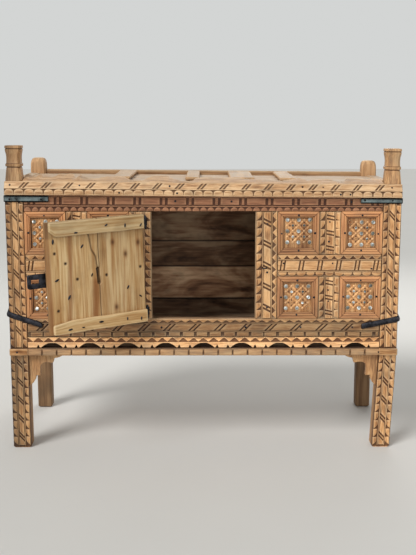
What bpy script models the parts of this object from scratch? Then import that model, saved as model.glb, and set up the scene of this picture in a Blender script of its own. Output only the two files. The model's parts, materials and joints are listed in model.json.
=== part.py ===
"""A damchiya: a carved teak dowry chest on four posts, with a framed front and one small ledged door.

Everything is built as if the door were shut, with the front face of the front posts at Y = 0.
The door then swings to the angle that it stands at, and the whole chest moves to the origin.
"""

import math

import bmesh
import bpy
from mathutils import Matrix, Vector

# Driving dimensions, in metres. X runs along the front, Y from front to back, Z up.
FIT = 0.0003                  # gap between two pieces that touch

# Carcass
WIDTH = 1.200                 # over the outer faces of the posts
DEPTH = 0.469                 # front posts' front face to back posts' back face
FRONT_POST = 0.055            # section of the front posts
BACK_POST = 0.050             # section of the back posts
BACK_POST_INSET = 0.005       # back posts' outer faces inside the front posts'
LEG_CLEAR = 0.301             # floor to the base rail
BASE_RAIL_HEIGHT = 0.022
VALANCE_HEIGHT = 0.034
SILL_HEIGHT = 0.0575
OPENING_HEIGHT = 0.3325
FRIEZE_HEIGHT = 0.0475
TOP_RAIL_HEIGHT = 0.0515
FINIAL_HEIGHT = 0.094         # front posts above the top rail
STUMP_HEIGHT = 0.039          # back posts above the top rail
STUMP_ROUNDING = 0.010
FOOT_CHAMFER = 0.004
RIGHT_LEG_LEAN = 0.014        # the right front foot has crept in by this much
TOP_LEAN = 0.009              # fall of the top from left to right, per unit of width
FINIAL_FOOT = 0.020           # start of the finials below the top
FINIAL_STEP = 0.004

# Front frame
OPENING_WIDTH = 0.316
STILE_WIDTH = 0.068
MUNTIN_WIDTH = 0.066
MID_RAIL_HEIGHT = 0.068
FRAME_BORDER = 0.0175
FRONT_RECESS = 0.002          # front members behind the posts' face
FRAME_RECESS = 0.0015         # panel frames behind the front members
RAIL_THICKNESS = 0.030
STRIP_THICKNESS = 0.012       # strips and frames that are nailed on the front boards
FRONT_BOARD_THICKNESS = 0.016
VALANCE_THICKNESS = 0.018
VALANCE_ARCHES = 9
VALANCE_END = 0.0439          # plain stretch at each end of the valance
ARCH_WIDTH = 0.060
ARCH_RISE = 0.0155
ARCH_STEPS = 8
BASE_RAIL_PROUD = 0.012       # base rail in front of the posts
BASE_RAIL_INSIDE = 0.045      # base rail behind the posts' face, under the floor
BRACKET_WIDTH = 0.108
BRACKET_DROP = 0.102
BRACKET_THICKNESS = 0.018
BRACKET_RECESS = 0.010

# Top
TOP_RAIL_PROUD = 0.013        # front top rail in front of the posts
TOP_RAIL_INSIDE = 0.100       # front top rail behind the posts' face
TOP_RAIL_LIP = 0.019          # upright front edge of the front top rail
TOP_RAIL_SLOPE = 0.0205       # height of the sloping carved band over the lip
TOP_RAIL_SLOPE_RUN = 0.010    # how far the carved band leans back
TOP_RAIL_CREST = 0.045        # where its upper face becomes level, behind the posts' face
TOP_RAIL_WEB = 0.034          # back of its lower, thick part
BACK_RAIL_THICKNESS = 0.032
BACK_RAIL_RECESS = 0.007      # back rails inside the posts' back face
SIDE_RAIL_THICKNESS = 0.040
TOP_BOARD_THICKNESS = 0.020
TOP_BOARD_SUNK = 0.014        # top boards below the top of the battens
BATTEN_1_CENTRE = -0.258      # places along the front
BATTEN_1_WIDTH = 0.061
BATTEN_2_CENTRE = -0.034
BATTEN_2_WIDTH = 0.046
BATTEN_3_CENTRE = 0.121
BATTEN_3_WIDTH = 0.080
BATTEN_4_CENTRE = 0.264
BATTEN_4_WIDTH = 0.055

# Walls and floor
WALL_BOARD_THICKNESS = 0.018
SIDE_WALL_RECESS = 0.010
BACK_WALL_RECESS = 0.011
LOW_BACK_RAIL_HEIGHT = 0.094
BACK_BOARD_HEIGHTS = (0.115, 0.090)   # the third board fills what is left
FLOOR_THICKNESS = 0.018

# Joinery
TENON_LENGTH = 0.022
SHORT_TENON_LENGTH = 0.012    # stiles and side rails, which meet other tenons
TENON_SHOULDER = 0.009
GROOVE_DEPTH = 0.008

# Door, shut in its opening
DOOR_SIDE_GAP = 0.0025
DOOR_TOP_GAP = 0.003
DOOR_BOTTOM_GAP = 0.002
PLANK_THICKNESS = 0.016
PLANK_SHARE = 0.5             # hinge plank's share of the width
LEDGE_THICKNESS = 0.012
TOP_LEDGE_HEIGHT = 0.043
BOTTOM_LEDGE_HEIGHT = 0.039
LEDGE_END_GAP = 0.008
DOOR_OPEN_ANGLE = math.radians(149)
HINGE_OUT_OF_PLUMB = 0.015    # the hinge line's lean to the left, per unit of height

# Ironwork
HINGE_BESIDE_OPENING = 0.016  # hinge line outside the opening's left edge
HINGE_PIN_RADIUS = 0.003
HINGE_PLAY = 0.0003
HINGE_EYE_WALL = 0.0022
HINGE_EYE_HEIGHT = 0.024
HINGE_EYE_CLEAR = 0.001       # hinge eyes in front of the stile
HINGE_STRAP_LENGTH = 0.090
HINGE_STRAP_HEIGHT = 0.022
HINGE_STRAP_THICKNESS = 0.0027
HINGE_INSET = 0.026           # hinge centres from the door's top and bottom edges
PIN_OVER_EYE = 0.006
PIN_BELOW_EYE = 0.010
PIN_SHANK_DEPTH = 0.022
PIN_BEND = 0.005
WIRE_RADIUS = 0.002
WIRE_PLAY = 0.0005
HASP_LENGTH = 0.092
HASP_HEIGHT = 0.042
HASP_THICKNESS = 0.003
HASP_ROUNDING = 0.007
HASP_NECK_LENGTH = 0.018
HASP_EYE_HEIGHT = 0.018
HASP_EYE_WALL = 0.002
HASP_EYE_CLEAR = 0.001        # hasp's eye in front of the door
HASP_PAST_DOOR = 0.054        # hasp beyond the door's free edge
HASP_DROP = 0.005             # hasp below the middle of the opening
SLOT_LENGTH = 0.024
SLOT_HEIGHT = 0.012
SLOT_FROM_END = 0.0235        # slot's middle from the hasp's end
STAPLE_BEND = 0.003
STAPLE_DEPTH = 0.012
LOCK_STAPLE_SPREAD = 0.012    # between the staple's two legs
LOCK_STAPLE_REACH = 0.018     # straight legs in front of the stile
LOCK_STAPLE_DEPTH = 0.020
STRAP_THICKNESS = 0.0025
STRAP_HEIGHT = 0.0155
STRAP_RISE = 0.0357           # middle above the frieze's lower edge
STRAP_SIDE_LENGTH = 0.100
LEFT_STRAP_LENGTH = 0.133     # along the front
RIGHT_STRAP_LENGTH = 0.125
BAR_THICKNESS = 0.005
BAR_HEIGHT = 0.0185
BAR_SIDE_LENGTH = 0.060
LEFT_BAR_LENGTH = 0.103       # along the front
LEFT_BAR_RISE = 0.017         # middle above the sill, at the corner
LEFT_BAR_ANGLE = math.radians(18.6)
RIGHT_BAR_LENGTH = 0.113
RIGHT_BAR_RISE = 0.001
RIGHT_BAR_ANGLE = math.radians(11.8)

# Levels and places that follow from the sizes above
BASE_TOP = LEG_CLEAR + BASE_RAIL_HEIGHT
VALANCE_TOP = BASE_TOP + VALANCE_HEIGHT
SILL_TOP = VALANCE_TOP + SILL_HEIGHT
FRIEZE_BOTTOM = SILL_TOP + OPENING_HEIGHT
FRIEZE_TOP = FRIEZE_BOTTOM + FRIEZE_HEIGHT
TOP = FRIEZE_TOP + TOP_RAIL_HEIGHT
HALF = WIDTH / 2
POST_INSIDE = HALF - FRONT_POST
BACK_POST_INSIDE = HALF - BACK_POST_INSET - BACK_POST
BACK_POST_FRONT = DEPTH - BACK_POST
STILE_INSIDE = OPENING_WIDTH / 2
STILE_OUTSIDE = STILE_INSIDE + STILE_WIDTH
MID_HEIGHT = SILL_TOP + OPENING_HEIGHT / 2
BOARD_FRONT = FRONT_RECESS + STRIP_THICKNESS
RAIL_BACK = FRONT_RECESS + RAIL_THICKNESS
BACK_RAIL_BACK = DEPTH - BACK_RAIL_RECESS
BACK_RAIL_FRONT = BACK_RAIL_BACK - BACK_RAIL_THICKNESS
LOW_BACK_RAIL_TOP = LEG_CLEAR + LOW_BACK_RAIL_HEIGHT
FLOOR_TOP = BASE_TOP + FLOOR_THICKNESS

DOOR_LEFT = -STILE_INSIDE + DOOR_SIDE_GAP
DOOR_RIGHT = STILE_INSIDE - DOOR_SIDE_GAP
DOOR_BOTTOM = SILL_TOP + DOOR_BOTTOM_GAP
DOOR_TOP = FRIEZE_BOTTOM - DOOR_TOP_GAP
DOOR_FACE = FRONT_RECESS
DOOR_BACK = DOOR_FACE + PLANK_THICKNESS
HINGE_EYE_RADIUS = HINGE_PIN_RADIUS + HINGE_PLAY + HINGE_EYE_WALL
HINGE_POINT = Vector((
    -STILE_INSIDE - HINGE_BESIDE_OPENING,
    FRONT_RECESS - HINGE_EYE_CLEAR - HINGE_EYE_RADIUS,
    MID_HEIGHT,
))
HINGE_UP = Vector((-HINGE_OUT_OF_PLUMB, 0, 1)).normalized()
HINGE_HEIGHTS = {"bottom": DOOR_BOTTOM + HINGE_INSET, "top": DOOR_TOP - HINGE_INSET}

HASP_EYE_RADIUS = WIRE_RADIUS + WIRE_PLAY + HASP_EYE_WALL
HASP_END = DOOR_RIGHT + HASP_PAST_DOOR
HASP_POINT = Vector((
    HASP_END - HASP_LENGTH,
    DOOR_FACE - HASP_EYE_CLEAR - HASP_EYE_RADIUS,
    MID_HEIGHT - HASP_DROP,
))
SLOT_MIDDLE = HASP_END - SLOT_FROM_END
CUT_MARGIN = 0.004            # how far a cutter runs past the face that it opens


# Scene, collections and materials

def empty_the_scene():
    for old in list(bpy.data.objects):
        bpy.data.objects.remove(old, do_unlink=True)


def new_collection(name):
    collection = bpy.data.collections.new(name)
    bpy.context.scene.collection.children.link(collection)
    return collection


def new_material(name, colour, roughness, metallic=0.0):
    made = bpy.data.materials.new(name)
    made.use_nodes = True
    shader = made.node_tree.nodes["Principled BSDF"]
    shader.inputs["Base Color"].default_value = (*colour, 1.0)
    shader.inputs["Roughness"].default_value = roughness
    shader.inputs["Metallic"].default_value = metallic
    made.diffuse_color = (*colour, 1.0)
    return made


empty_the_scene()
CHEST = new_collection("damchiya_chest")
CUTTERS = new_collection("cutters")
CUTTERS.hide_render = True
CARVED_TEAK = new_material("carved_teak", (0.43, 0.25, 0.11), 0.62)
PLAIN_TEAK = new_material("plain_teak", (0.36, 0.21, 0.10), 0.70)
DARK_BOARDS = new_material("dark_boards", (0.16, 0.09, 0.045), 0.80)
PALE_WOOD = new_material("pale_door_wood", (0.58, 0.40, 0.19), 0.65)
GREY_IRON = new_material("grey_strap_iron", (0.17, 0.20, 0.20), 0.55, 0.8)
BLACK_IRON = new_material("black_iron", (0.03, 0.03, 0.035), 0.50, 0.8)


# Carriers: the empties that pieces hang on, each with the point where it stands while the door is shut

class Carrier:
    def __init__(self, name, point, above=None):
        self.point = Vector(point)
        self.empty = bpy.data.objects.new(name, None)
        self.empty.empty_display_size = 0.05
        CHEST.objects.link(self.empty)
        if above:
            self.empty.parent = above.empty
        self.empty.location = self.point - (above.point if above else Vector())


STAND = Carrier("chest_stand", (0, 0, 0))
DOOR_LINE = Carrier("door_hinge_line", HINGE_POINT, STAND)
HASP_LINE = Carrier("hasp_hinge_line", HASP_POINT, DOOR_LINE)


# Basic shapes

def settle(mesh, middle):
    """Tips what lies over the frieze's lower edge, as the chest has sunk on its right."""
    for vert in mesh.vertices:
        place = middle + vert.co
        share = min(max((place.z - FRIEZE_BOTTOM) / FRIEZE_HEIGHT, 0.0), 1.0)
        vert.co.z -= TOP_LEAN * place.x * share


def link(name, data, material, middle, carrier):
    """An object of the chest whose origin is at middle, a point of the shut chest."""
    piece = bpy.data.objects.new(name, data)
    CHEST.objects.link(piece)
    data.materials.append(material)
    if carrier is STAND and isinstance(data, bpy.types.Mesh):
        settle(data, Vector(middle))
    piece.parent = carrier.empty
    piece.location = Vector(middle) - carrier.point
    return piece


def to_mesh(name, bm):
    bmesh.ops.recalc_face_normals(bm, faces=bm.faces)
    mesh = bpy.data.meshes.new(name)
    bm.to_mesh(mesh)
    bm.free()
    return mesh


def cube_of(size):
    bm = bmesh.new()
    bmesh.ops.create_cube(bm, size=1.0, matrix=Matrix.Diagonal((*size, 1.0)))
    return bm


def raised_face(bm, face, keep=False):
    """A new face over this one, still at the same place and joined to it by side faces."""
    grown = bmesh.ops.extrude_face_region(bm, geom=[face])
    if not keep:
        bmesh.ops.delete(bm, geom=[face], context="FACES_ONLY")
    return next(item for item in grown["geom"] if isinstance(item, bmesh.types.BMFace))


def middle_and_size(low, high):
    low, high = Vector(low), Vector(high)
    return (low + high) / 2, high - low


def box(name, low, high, material, carrier=STAND):
    middle, size = middle_and_size(low, high)
    return link(name, to_mesh(name, cube_of(size)), material, middle, carrier)


def round_corners(piece, radius, steps=4):
    """Rounds the four edges of a flat plate that run from its front to its back."""
    bm = bmesh.new()
    bm.from_mesh(piece.data)
    edges = [e for e in bm.edges if abs((e.verts[0].co - e.verts[1].co).normalized().y) > 0.9]
    bmesh.ops.bevel(bm, geom=edges, offset=radius, segments=steps, profile=0.5, affect="EDGES")
    bm.to_mesh(piece.data)
    bm.free()


def across(side, near, far):
    """The low and high X of a stretch from near to far of the middle, on the left or the right."""
    return (near, far) if side == "right" else (-far, -near)


def as_cutter(piece):
    for collection in list(piece.users_collection):
        collection.objects.unlink(piece)
    CUTTERS.objects.link(piece)
    piece.hide_render = True
    piece.display_type = "WIRE"
    return piece


def cutter_box(name, low, high, carrier=STAND):
    return as_cutter(box(name, low, high, PLAIN_TEAK, carrier))


def rod(name, start, end, radius, carrier=STAND, sides=16):
    """A closed cylinder from start to end."""
    start, end = Vector(start), Vector(end)
    bm = bmesh.new()
    bmesh.ops.create_cone(
        bm, cap_ends=True, segments=sides, radius1=radius, radius2=radius, depth=(end - start).length
    )
    turn = (end - start).to_track_quat("Z", "Y").to_matrix().to_4x4()
    bmesh.ops.transform(bm, matrix=turn, verts=bm.verts)
    piece = link(name, to_mesh(name, bm), BLACK_IRON, (start + end) / 2, carrier)
    return as_cutter(piece)


def boolean(target, operation, other):
    modifier = target.modifiers.new(f"{operation.lower()}_{other.name}", "BOOLEAN")
    modifier.operation = operation
    modifier.object = other


def cut(target, cutter):
    boolean(target, "DIFFERENCE", cutter)


def join(target, addition):
    boolean(target, "UNION", addition)


def wire(name, points, radius, carrier=STAND):
    """A bent iron rod along points of the shut chest."""
    curve = bpy.data.curves.new(name, "CURVE")
    curve.dimensions = "3D"
    curve.bevel_depth = radius
    curve.bevel_resolution = 2
    curve.use_fill_caps = True
    spline = curve.splines.new("POLY")
    spline.points.add(len(points) - 1)
    first = Vector(points[0])
    for knot, point in zip(spline.points, points):
        knot.co = (*(Vector(point) - first), 1.0)
    return link(name, curve, BLACK_IRON, first, carrier)


def quarter_bend(corner, before, after, radius, steps=5):
    """Points round a corner, from the direction before to the direction after."""
    before, after = Vector(before).normalized(), Vector(after).normalized()
    centre = Vector(corner) - before * radius + after * radius
    turns = [math.pi / 2 * i / (steps - 1) for i in range(steps)]
    return [centre - after * radius * math.cos(t) + before * radius * math.sin(t) for t in turns]


def board_outline(name, points, front, thickness, material):
    """A flat board with an outline in X and Z, whose front face is at Y = front."""
    curve = bpy.data.curves.new(name, "CURVE")
    curve.dimensions = "2D"
    curve.fill_mode = "BOTH"
    curve.extrude = thickness / 2
    spline = curve.splines.new("POLY")
    spline.points.add(len(points) - 1)
    for knot, (x, z) in zip(spline.points, points):
        knot.co = (x, z, 0.0, 1.0)
    spline.use_cyclic_u = True
    piece = link(name, curve, material, (0, front + thickness / 2, 0), STAND)
    piece.rotation_euler = (math.pi / 2, 0, 0)
    return piece


# Joinery

def tenon_box(low, high, axis, end, length):
    """The low and high corner of the tenon on one end of a rail."""
    low, high = Vector(low), Vector(high)
    shoulder = Vector((TENON_SHOULDER,) * 3)
    shoulder[axis] = 0
    inner_low, inner_high = low + shoulder, high - shoulder
    if end > 0:
        inner_low[axis], inner_high[axis] = high[axis], high[axis] + length
    else:
        inner_low[axis], inner_high[axis] = low[axis] - length, low[axis]
    return inner_low, inner_high


def tenoned(name, low, high, axis, material, low_into, high_into, length=TENON_LENGTH):
    """A rail with a tenon on each end, and the mortises for them in the pieces that take them."""
    middle, size = middle_and_size(low, high)
    bm = cube_of(size)
    for end in (-1, 1):
        face = max(bm.faces, key=lambda f: f.calc_center_median()[axis] * end)
        bmesh.ops.inset_region(bm, faces=[face], thickness=TENON_SHOULDER, use_even_offset=True)
        face = raised_face(bm, face)
        step = Vector((0, 0, 0))
        step[axis] = end * length
        bmesh.ops.translate(bm, verts=face.verts, vec=step)
    rail = link(name, to_mesh(name, bm), material, middle, STAND)
    room = Vector((FIT,) * 3)
    for end, target in ((-1, low_into), (1, high_into)):
        tenon_low, tenon_high = tenon_box(low, high, axis, end, length)
        past = Vector((0, 0, 0))
        past[axis] = CUT_MARGIN
        open_low = tenon_low - room - (past if end > 0 else Vector())
        open_high = tenon_high + room + (past if end < 0 else Vector())
        cut(target, cutter_box(f"{name}_mortise_{target.name}", open_low, open_high))
    return rail


# Posts

def stacked_post(name, sections, centre, material):
    """A square post from the floor up, through sections of (height, half width, sideways step)."""
    bm = bmesh.new()
    bmesh.ops.create_grid(bm, x_segments=1, y_segments=1, size=1.0)
    top = bm.faces[:][0]
    for index, (height, half, step) in enumerate(sections):
        if index:
            top = raised_face(bm, top, keep=index == 1)
        for vert in top.verts:
            across_x, across_y = math.copysign(half, vert.co.x), math.copysign(half, vert.co.y)
            vert.co = (across_x, across_y, height)
    for vert in bm.verts:
        vert.co.x += next(step for height, _, step in sections if abs(height - vert.co.z) < FIT)
    return link(name, to_mesh(name, bm), material, (*centre, 0), STAND)


def leg_lean(side, height):
    """How far a front leg has crept to the left at a height."""
    lean = RIGHT_LEG_LEAN if side == "right" else 0.0
    return lean * (LEG_CLEAR - height) / (LEG_CLEAR - FOOT_CHAMFER)


def front_post(side):
    half = FRONT_POST / 2
    finial_foot = 0.92
    finial = (                # share of the finial's height, and half width against the post's
        (0.33, 0.81),
        (0.35, 0.86),
        (0.43, 0.86),
        (0.45, 0.78),
        (0.66, 0.77),
        (0.84, 0.86),
        (0.90, 0.89),
        (1.00, 0.87),
    )
    sections = [
        (0.0, half - FOOT_CHAMFER, -leg_lean(side, FOOT_CHAMFER)),
        (FOOT_CHAMFER, half, -leg_lean(side, FOOT_CHAMFER)),
        (LEG_CLEAR, half, 0.0),
        (TOP - FINIAL_FOOT, half, 0.0),
        (TOP - FINIAL_FOOT + FINIAL_STEP, half * finial_foot, 0.0),
    ]
    sections += [(TOP + share * FINIAL_HEIGHT, half * width, 0.0) for share, width in finial]
    sign = 1 if side == "right" else -1
    centre = (sign * (HALF - half), half)
    return stacked_post(f"post_front_{side}", sections, centre, CARVED_TEAK)


def back_post(side):
    half = BACK_POST / 2
    sections = [
        (0.0, half - FOOT_CHAMFER, 0.0),
        (FOOT_CHAMFER, half, 0.0),
        (TOP + STUMP_HEIGHT - STUMP_ROUNDING, half, 0.0),
        (TOP + STUMP_HEIGHT - STUMP_ROUNDING / 3, half - STUMP_ROUNDING / 3, 0.0),
        (TOP + STUMP_HEIGHT, half - STUMP_ROUNDING, 0.0),
    ]
    sign = 1 if side == "right" else -1
    centre = (sign * (HALF - BACK_POST_INSET - half), DEPTH - half)
    return stacked_post(f"post_back_{side}", sections, centre, PLAIN_TEAK)


# Front

def rails_and_stiles(posts):
    """The frieze and the sill between the front posts, and the two stiles of the door's opening."""
    end = POST_INSIDE - FIT
    front_posts = posts["front_left"], posts["front_right"]
    frieze = tenoned(
        "frieze_rail",
        (-end, FRONT_RECESS, FRIEZE_BOTTOM), (end, RAIL_BACK, FRIEZE_TOP - FIT),
        0, CARVED_TEAK, *front_posts,
    )
    sill = tenoned(
        "sill_rail",
        (-end, FRONT_RECESS, VALANCE_TOP), (end, RAIL_BACK, SILL_TOP),
        0, CARVED_TEAK, *front_posts,
    )
    stiles = {}
    for side in ("left", "right"):
        low, high = across(side, STILE_INSIDE, STILE_OUTSIDE - FIT)
        stiles[side] = tenoned(
            f"door_stile_{side}",
            (low, FRONT_RECESS, SILL_TOP + FIT), (high, RAIL_BACK, FRIEZE_BOTTOM - FIT),
            2, CARVED_TEAK, sill, frieze, length=SHORT_TENON_LENGTH,
        )
    return stiles


def strips_and_frames(side):
    """One side of the front: its board, and the strips and panel frames that are nailed on it."""
    near, far = STILE_OUTSIDE, POST_INSIDE
    cell = (far - near - MUNTIN_WIDTH) / 2
    half_mid = MID_RAIL_HEIGHT / 2
    low, high = across(side, near + FIT, far - FIT)
    board_back = BOARD_FRONT + FRONT_BOARD_THICKNESS
    box(
        f"front_board_{side}",
        (low, BOARD_FRONT, SILL_TOP + FIT), (high, board_back, FRIEZE_BOTTOM - FIT), PLAIN_TEAK,
    )
    back = BOARD_FRONT - FIT
    box(
        f"mid_rail_{side}",
        (low, FRONT_RECESS, MID_HEIGHT - half_mid), (high, back, MID_HEIGHT + half_mid), CARVED_TEAK,
    )
    rows = {
        "upper": (MID_HEIGHT + half_mid + FIT, FRIEZE_BOTTOM - FIT),
        "lower": (SILL_TOP + FIT, MID_HEIGHT - half_mid - FIT),
    }
    columns = {
        "inner": across(side, near + FIT, near + cell - FIT),
        "outer": across(side, far - cell + FIT, far - FIT),
    }
    muntin_low, muntin_high = across(side, near + cell, near + cell + MUNTIN_WIDTH)
    for row, (bottom, top) in rows.items():
        box(
            f"muntin_{side}_{row}",
            (muntin_low, FRONT_RECESS, bottom), (muntin_high, back, top), CARVED_TEAK,
        )
        for column, (left, right) in columns.items():
            panel_frame(f"panel_frame_{side}_{row}_{column}", left, right, bottom, top, back)


def panel_frame(name, left, right, bottom, top, back):
    """A mitred moulding round one mirror panel."""
    front = FRONT_RECESS + FRAME_RECESS
    frame = box(name, (left, front, bottom), (right, back, top), CARVED_TEAK)
    window = cutter_box(
        f"{name}_window",
        (left + FRAME_BORDER, front - CUT_MARGIN, bottom + FRAME_BORDER),
        (right - FRAME_BORDER, back + CUT_MARGIN, top - FRAME_BORDER),
    )
    cut(frame, window)


def valance():
    """The board under the sill, with a row of arches along its lower edge."""
    end = POST_INSIDE - FIT
    bottom, top = BASE_TOP + FIT, VALANCE_TOP - FIT
    points = [(-end, top), (-end, bottom)]
    last = end - VALANCE_END - ARCH_WIDTH / 2
    for arch in range(VALANCE_ARCHES):
        centre = last * (2 * arch / (VALANCE_ARCHES - 1) - 1)
        for step in range(ARCH_STEPS + 1):
            turn = math.pi * (1 - step / ARCH_STEPS)
            points.append((centre + ARCH_WIDTH / 2 * math.cos(turn), bottom + ARCH_RISE * math.sin(turn)))
    points += [(end, bottom), (end, top)]
    board_outline("valance", points, FRONT_RECESS, VALANCE_THICKNESS, CARVED_TEAK)


def lapped_rail(name, section):
    """A rail with this outline in Y and Z, which runs past the front posts and is notched round them."""
    bm = bmesh.new()
    low_end = bm.faces.new([bm.verts.new((-HALF, y, z)) for y, z in section])
    high_end = raised_face(bm, low_end, keep=True)
    bmesh.ops.translate(bm, verts=high_end.verts, vec=(WIDTH, 0, 0))
    rail = link(name, to_mesh(name, bm), CARVED_TEAK, (0, 0, 0), STAND)
    for side in ("left", "right"):
        low, high = across(side, POST_INSIDE - FIT, HALF + CUT_MARGIN)
        notch = cutter_box(
            f"{name}_notch_{side}", (low, -FIT, LEG_CLEAR - CUT_MARGIN), (high, FRONT_POST + FIT, TOP + CUT_MARGIN),
        )
        cut(rail, notch)
    return rail


def base_rail():
    bottom, top = LEG_CLEAR, BASE_TOP
    front, back = -BASE_RAIL_PROUD, BASE_RAIL_INSIDE
    lapped_rail("base_rail_front", [(front, bottom), (back, bottom), (back, top), (front, top)])


def front_top_rail():
    """A wide plank with a thick front: an upright lip, a sloping band over it, and a level top."""
    front, back = -TOP_RAIL_PROUD, TOP_RAIL_INSIDE
    lip_top = FRIEZE_TOP + TOP_RAIL_LIP
    thin_bottom = TOP - TOP_BOARD_SUNK - TOP_BOARD_THICKNESS
    rail = lapped_rail("top_rail_front", [
        (front, FRIEZE_TOP),
        (TOP_RAIL_WEB, FRIEZE_TOP),
        (TOP_RAIL_WEB, thin_bottom),
        (back, thin_bottom),
        (back, TOP),
        (TOP_RAIL_CREST, TOP),
        (front + TOP_RAIL_SLOPE_RUN, lip_top + TOP_RAIL_SLOPE),
        (front, lip_top),
    ])
    for side in ("left", "right"):
        low, high = across(side, HALF - SIDE_RAIL_THICKNESS - FIT, HALF + CUT_MARGIN)
        notch = cutter_box(
            f"top_rail_front_side_notch_{side}",
            (low, FRONT_POST, FRIEZE_TOP - CUT_MARGIN), (high, back + CUT_MARGIN, TOP + CUT_MARGIN),
        )
        cut(rail, notch)


def arc(centre, radii, start, end, steps):
    """Points on an ellipse's arc, with the angles in degrees."""
    turns = [math.radians(start + (end - start) * i / steps) for i in range(steps + 1)]
    return [(centre[0] + radii[0] * math.cos(t), centre[1] + radii[1] * math.sin(t)) for t in turns]


def leg_bracket(side):
    """The stepped and scooped bracket between a front leg and the base rail."""
    w, d = BRACKET_WIDTH, BRACKET_DROP
    shape = [(0.0, 0.0), (w, 0.0)]
    shape += arc((w, -0.13 * d), (0.26 * w, 0.13 * d), 100, 175, 4)
    shape += [(0.70 * w, -0.15 * d), (0.70 * w, -0.27 * d)]
    shape += arc((0.42 * w, -0.46 * d), (0.12 * w, 0.20 * d), 80, 180, 6)
    shape += [(0.30 * w, -0.66 * d), (0.17 * w, -0.67 * d)]
    shape += arc((0.0, -0.70 * d), (0.15 * w, 0.26 * d), -10, -75, 4)
    shape += [(0.0, -d)]
    sign = 1 if side == "left" else -1
    start = -sign * (POST_INSIDE - FIT)
    top = LEG_CLEAR - FIT
    points = [(start + sign * x - leg_lean(side, top + z), top + z) for x, z in shape]
    board_outline(f"leg_bracket_{side}", points, BRACKET_RECESS, BRACKET_THICKNESS, CARVED_TEAK)


# Top, walls and floor

def top_frame(posts):
    end = BACK_POST_INSIDE - FIT
    tenoned(
        "top_rail_back",
        (-end, BACK_RAIL_FRONT, FRIEZE_TOP), (end, BACK_RAIL_BACK, TOP),
        0, PLAIN_TEAK, posts["back_left"], posts["back_right"],
    )
    board_top = TOP - TOP_BOARD_SUNK
    board_bottom = board_top - TOP_BOARD_THICKNESS
    board_front, board_back = TOP_RAIL_INSIDE + FIT, BACK_RAIL_FRONT - FIT
    for side in ("left", "right"):
        low, high = across(side, HALF - SIDE_RAIL_THICKNESS, HALF)
        rail = tenoned(
            f"top_rail_{side}",
            (low, FRONT_POST + FIT, FRIEZE_TOP), (high, BACK_POST_FRONT - FIT, TOP),
            1, PLAIN_TEAK, posts[f"front_{side}"], posts[f"back_{side}"], length=SHORT_TENON_LENGTH,
        )
        inner = HALF - SIDE_RAIL_THICKNESS
        low, high = across(side, inner - CUT_MARGIN, inner + GROOVE_DEPTH + FIT)
        groove = cutter_box(
            f"top_board_groove_{side}",
            (low, board_front - FIT, board_bottom - FIT), (high, DEPTH, board_top + FIT),
        )
        cut(rail, groove)
    reach = HALF - SIDE_RAIL_THICKNESS + GROOVE_DEPTH
    for side in ("left", "right"):
        low, high = across(side, BACK_POST_INSIDE - CUT_MARGIN, reach + FIT)
        room = cutter_box(
            f"top_board_room_{side}",
            (low, BACK_POST_FRONT - CUT_MARGIN, board_bottom - FIT), (high, board_back + FIT, board_top + FIT),
        )
        cut(posts[f"back_{side}"], room)
    seam = (board_front + board_back) / 2
    for name, front, back in (
        ("top_board_front", board_front, seam - FIT),
        ("top_board_back", seam + FIT, board_back),
    ):
        box(name, (-reach, front, board_bottom), (reach, back, board_top), PLAIN_TEAK)
    battens = (
        (BATTEN_1_CENTRE, BATTEN_1_WIDTH),
        (BATTEN_2_CENTRE, BATTEN_2_WIDTH),
        (BATTEN_3_CENTRE, BATTEN_3_WIDTH),
        (BATTEN_4_CENTRE, BATTEN_4_WIDTH),
    )
    for number, (centre, width) in enumerate(battens, 1):
        box(
            f"top_batten_{number}",
            (centre - width / 2, board_front, board_top + FIT),
            (centre + width / 2, board_back, TOP),
            PLAIN_TEAK,
        )


def side_wall(side, posts):
    """One wide board, let into grooves in the two posts."""
    outer = HALF - SIDE_WALL_RECESS
    low, high = across(side, outer - WALL_BOARD_THICKNESS, outer)
    front, back = FRONT_POST - GROOVE_DEPTH, BACK_POST_FRONT + GROOVE_DEPTH
    bottom, top = LEG_CLEAR, FRIEZE_TOP - FIT
    box(f"side_wall_{side}", (low, front, bottom), (high, back, top), PLAIN_TEAK)
    for post in (posts[f"front_{side}"], posts[f"back_{side}"]):
        groove = cutter_box(
            f"side_wall_groove_{post.name}",
            (low - FIT, front - FIT, bottom - FIT), (high + FIT, back + FIT, top + FIT),
        )
        cut(post, groove)


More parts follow.
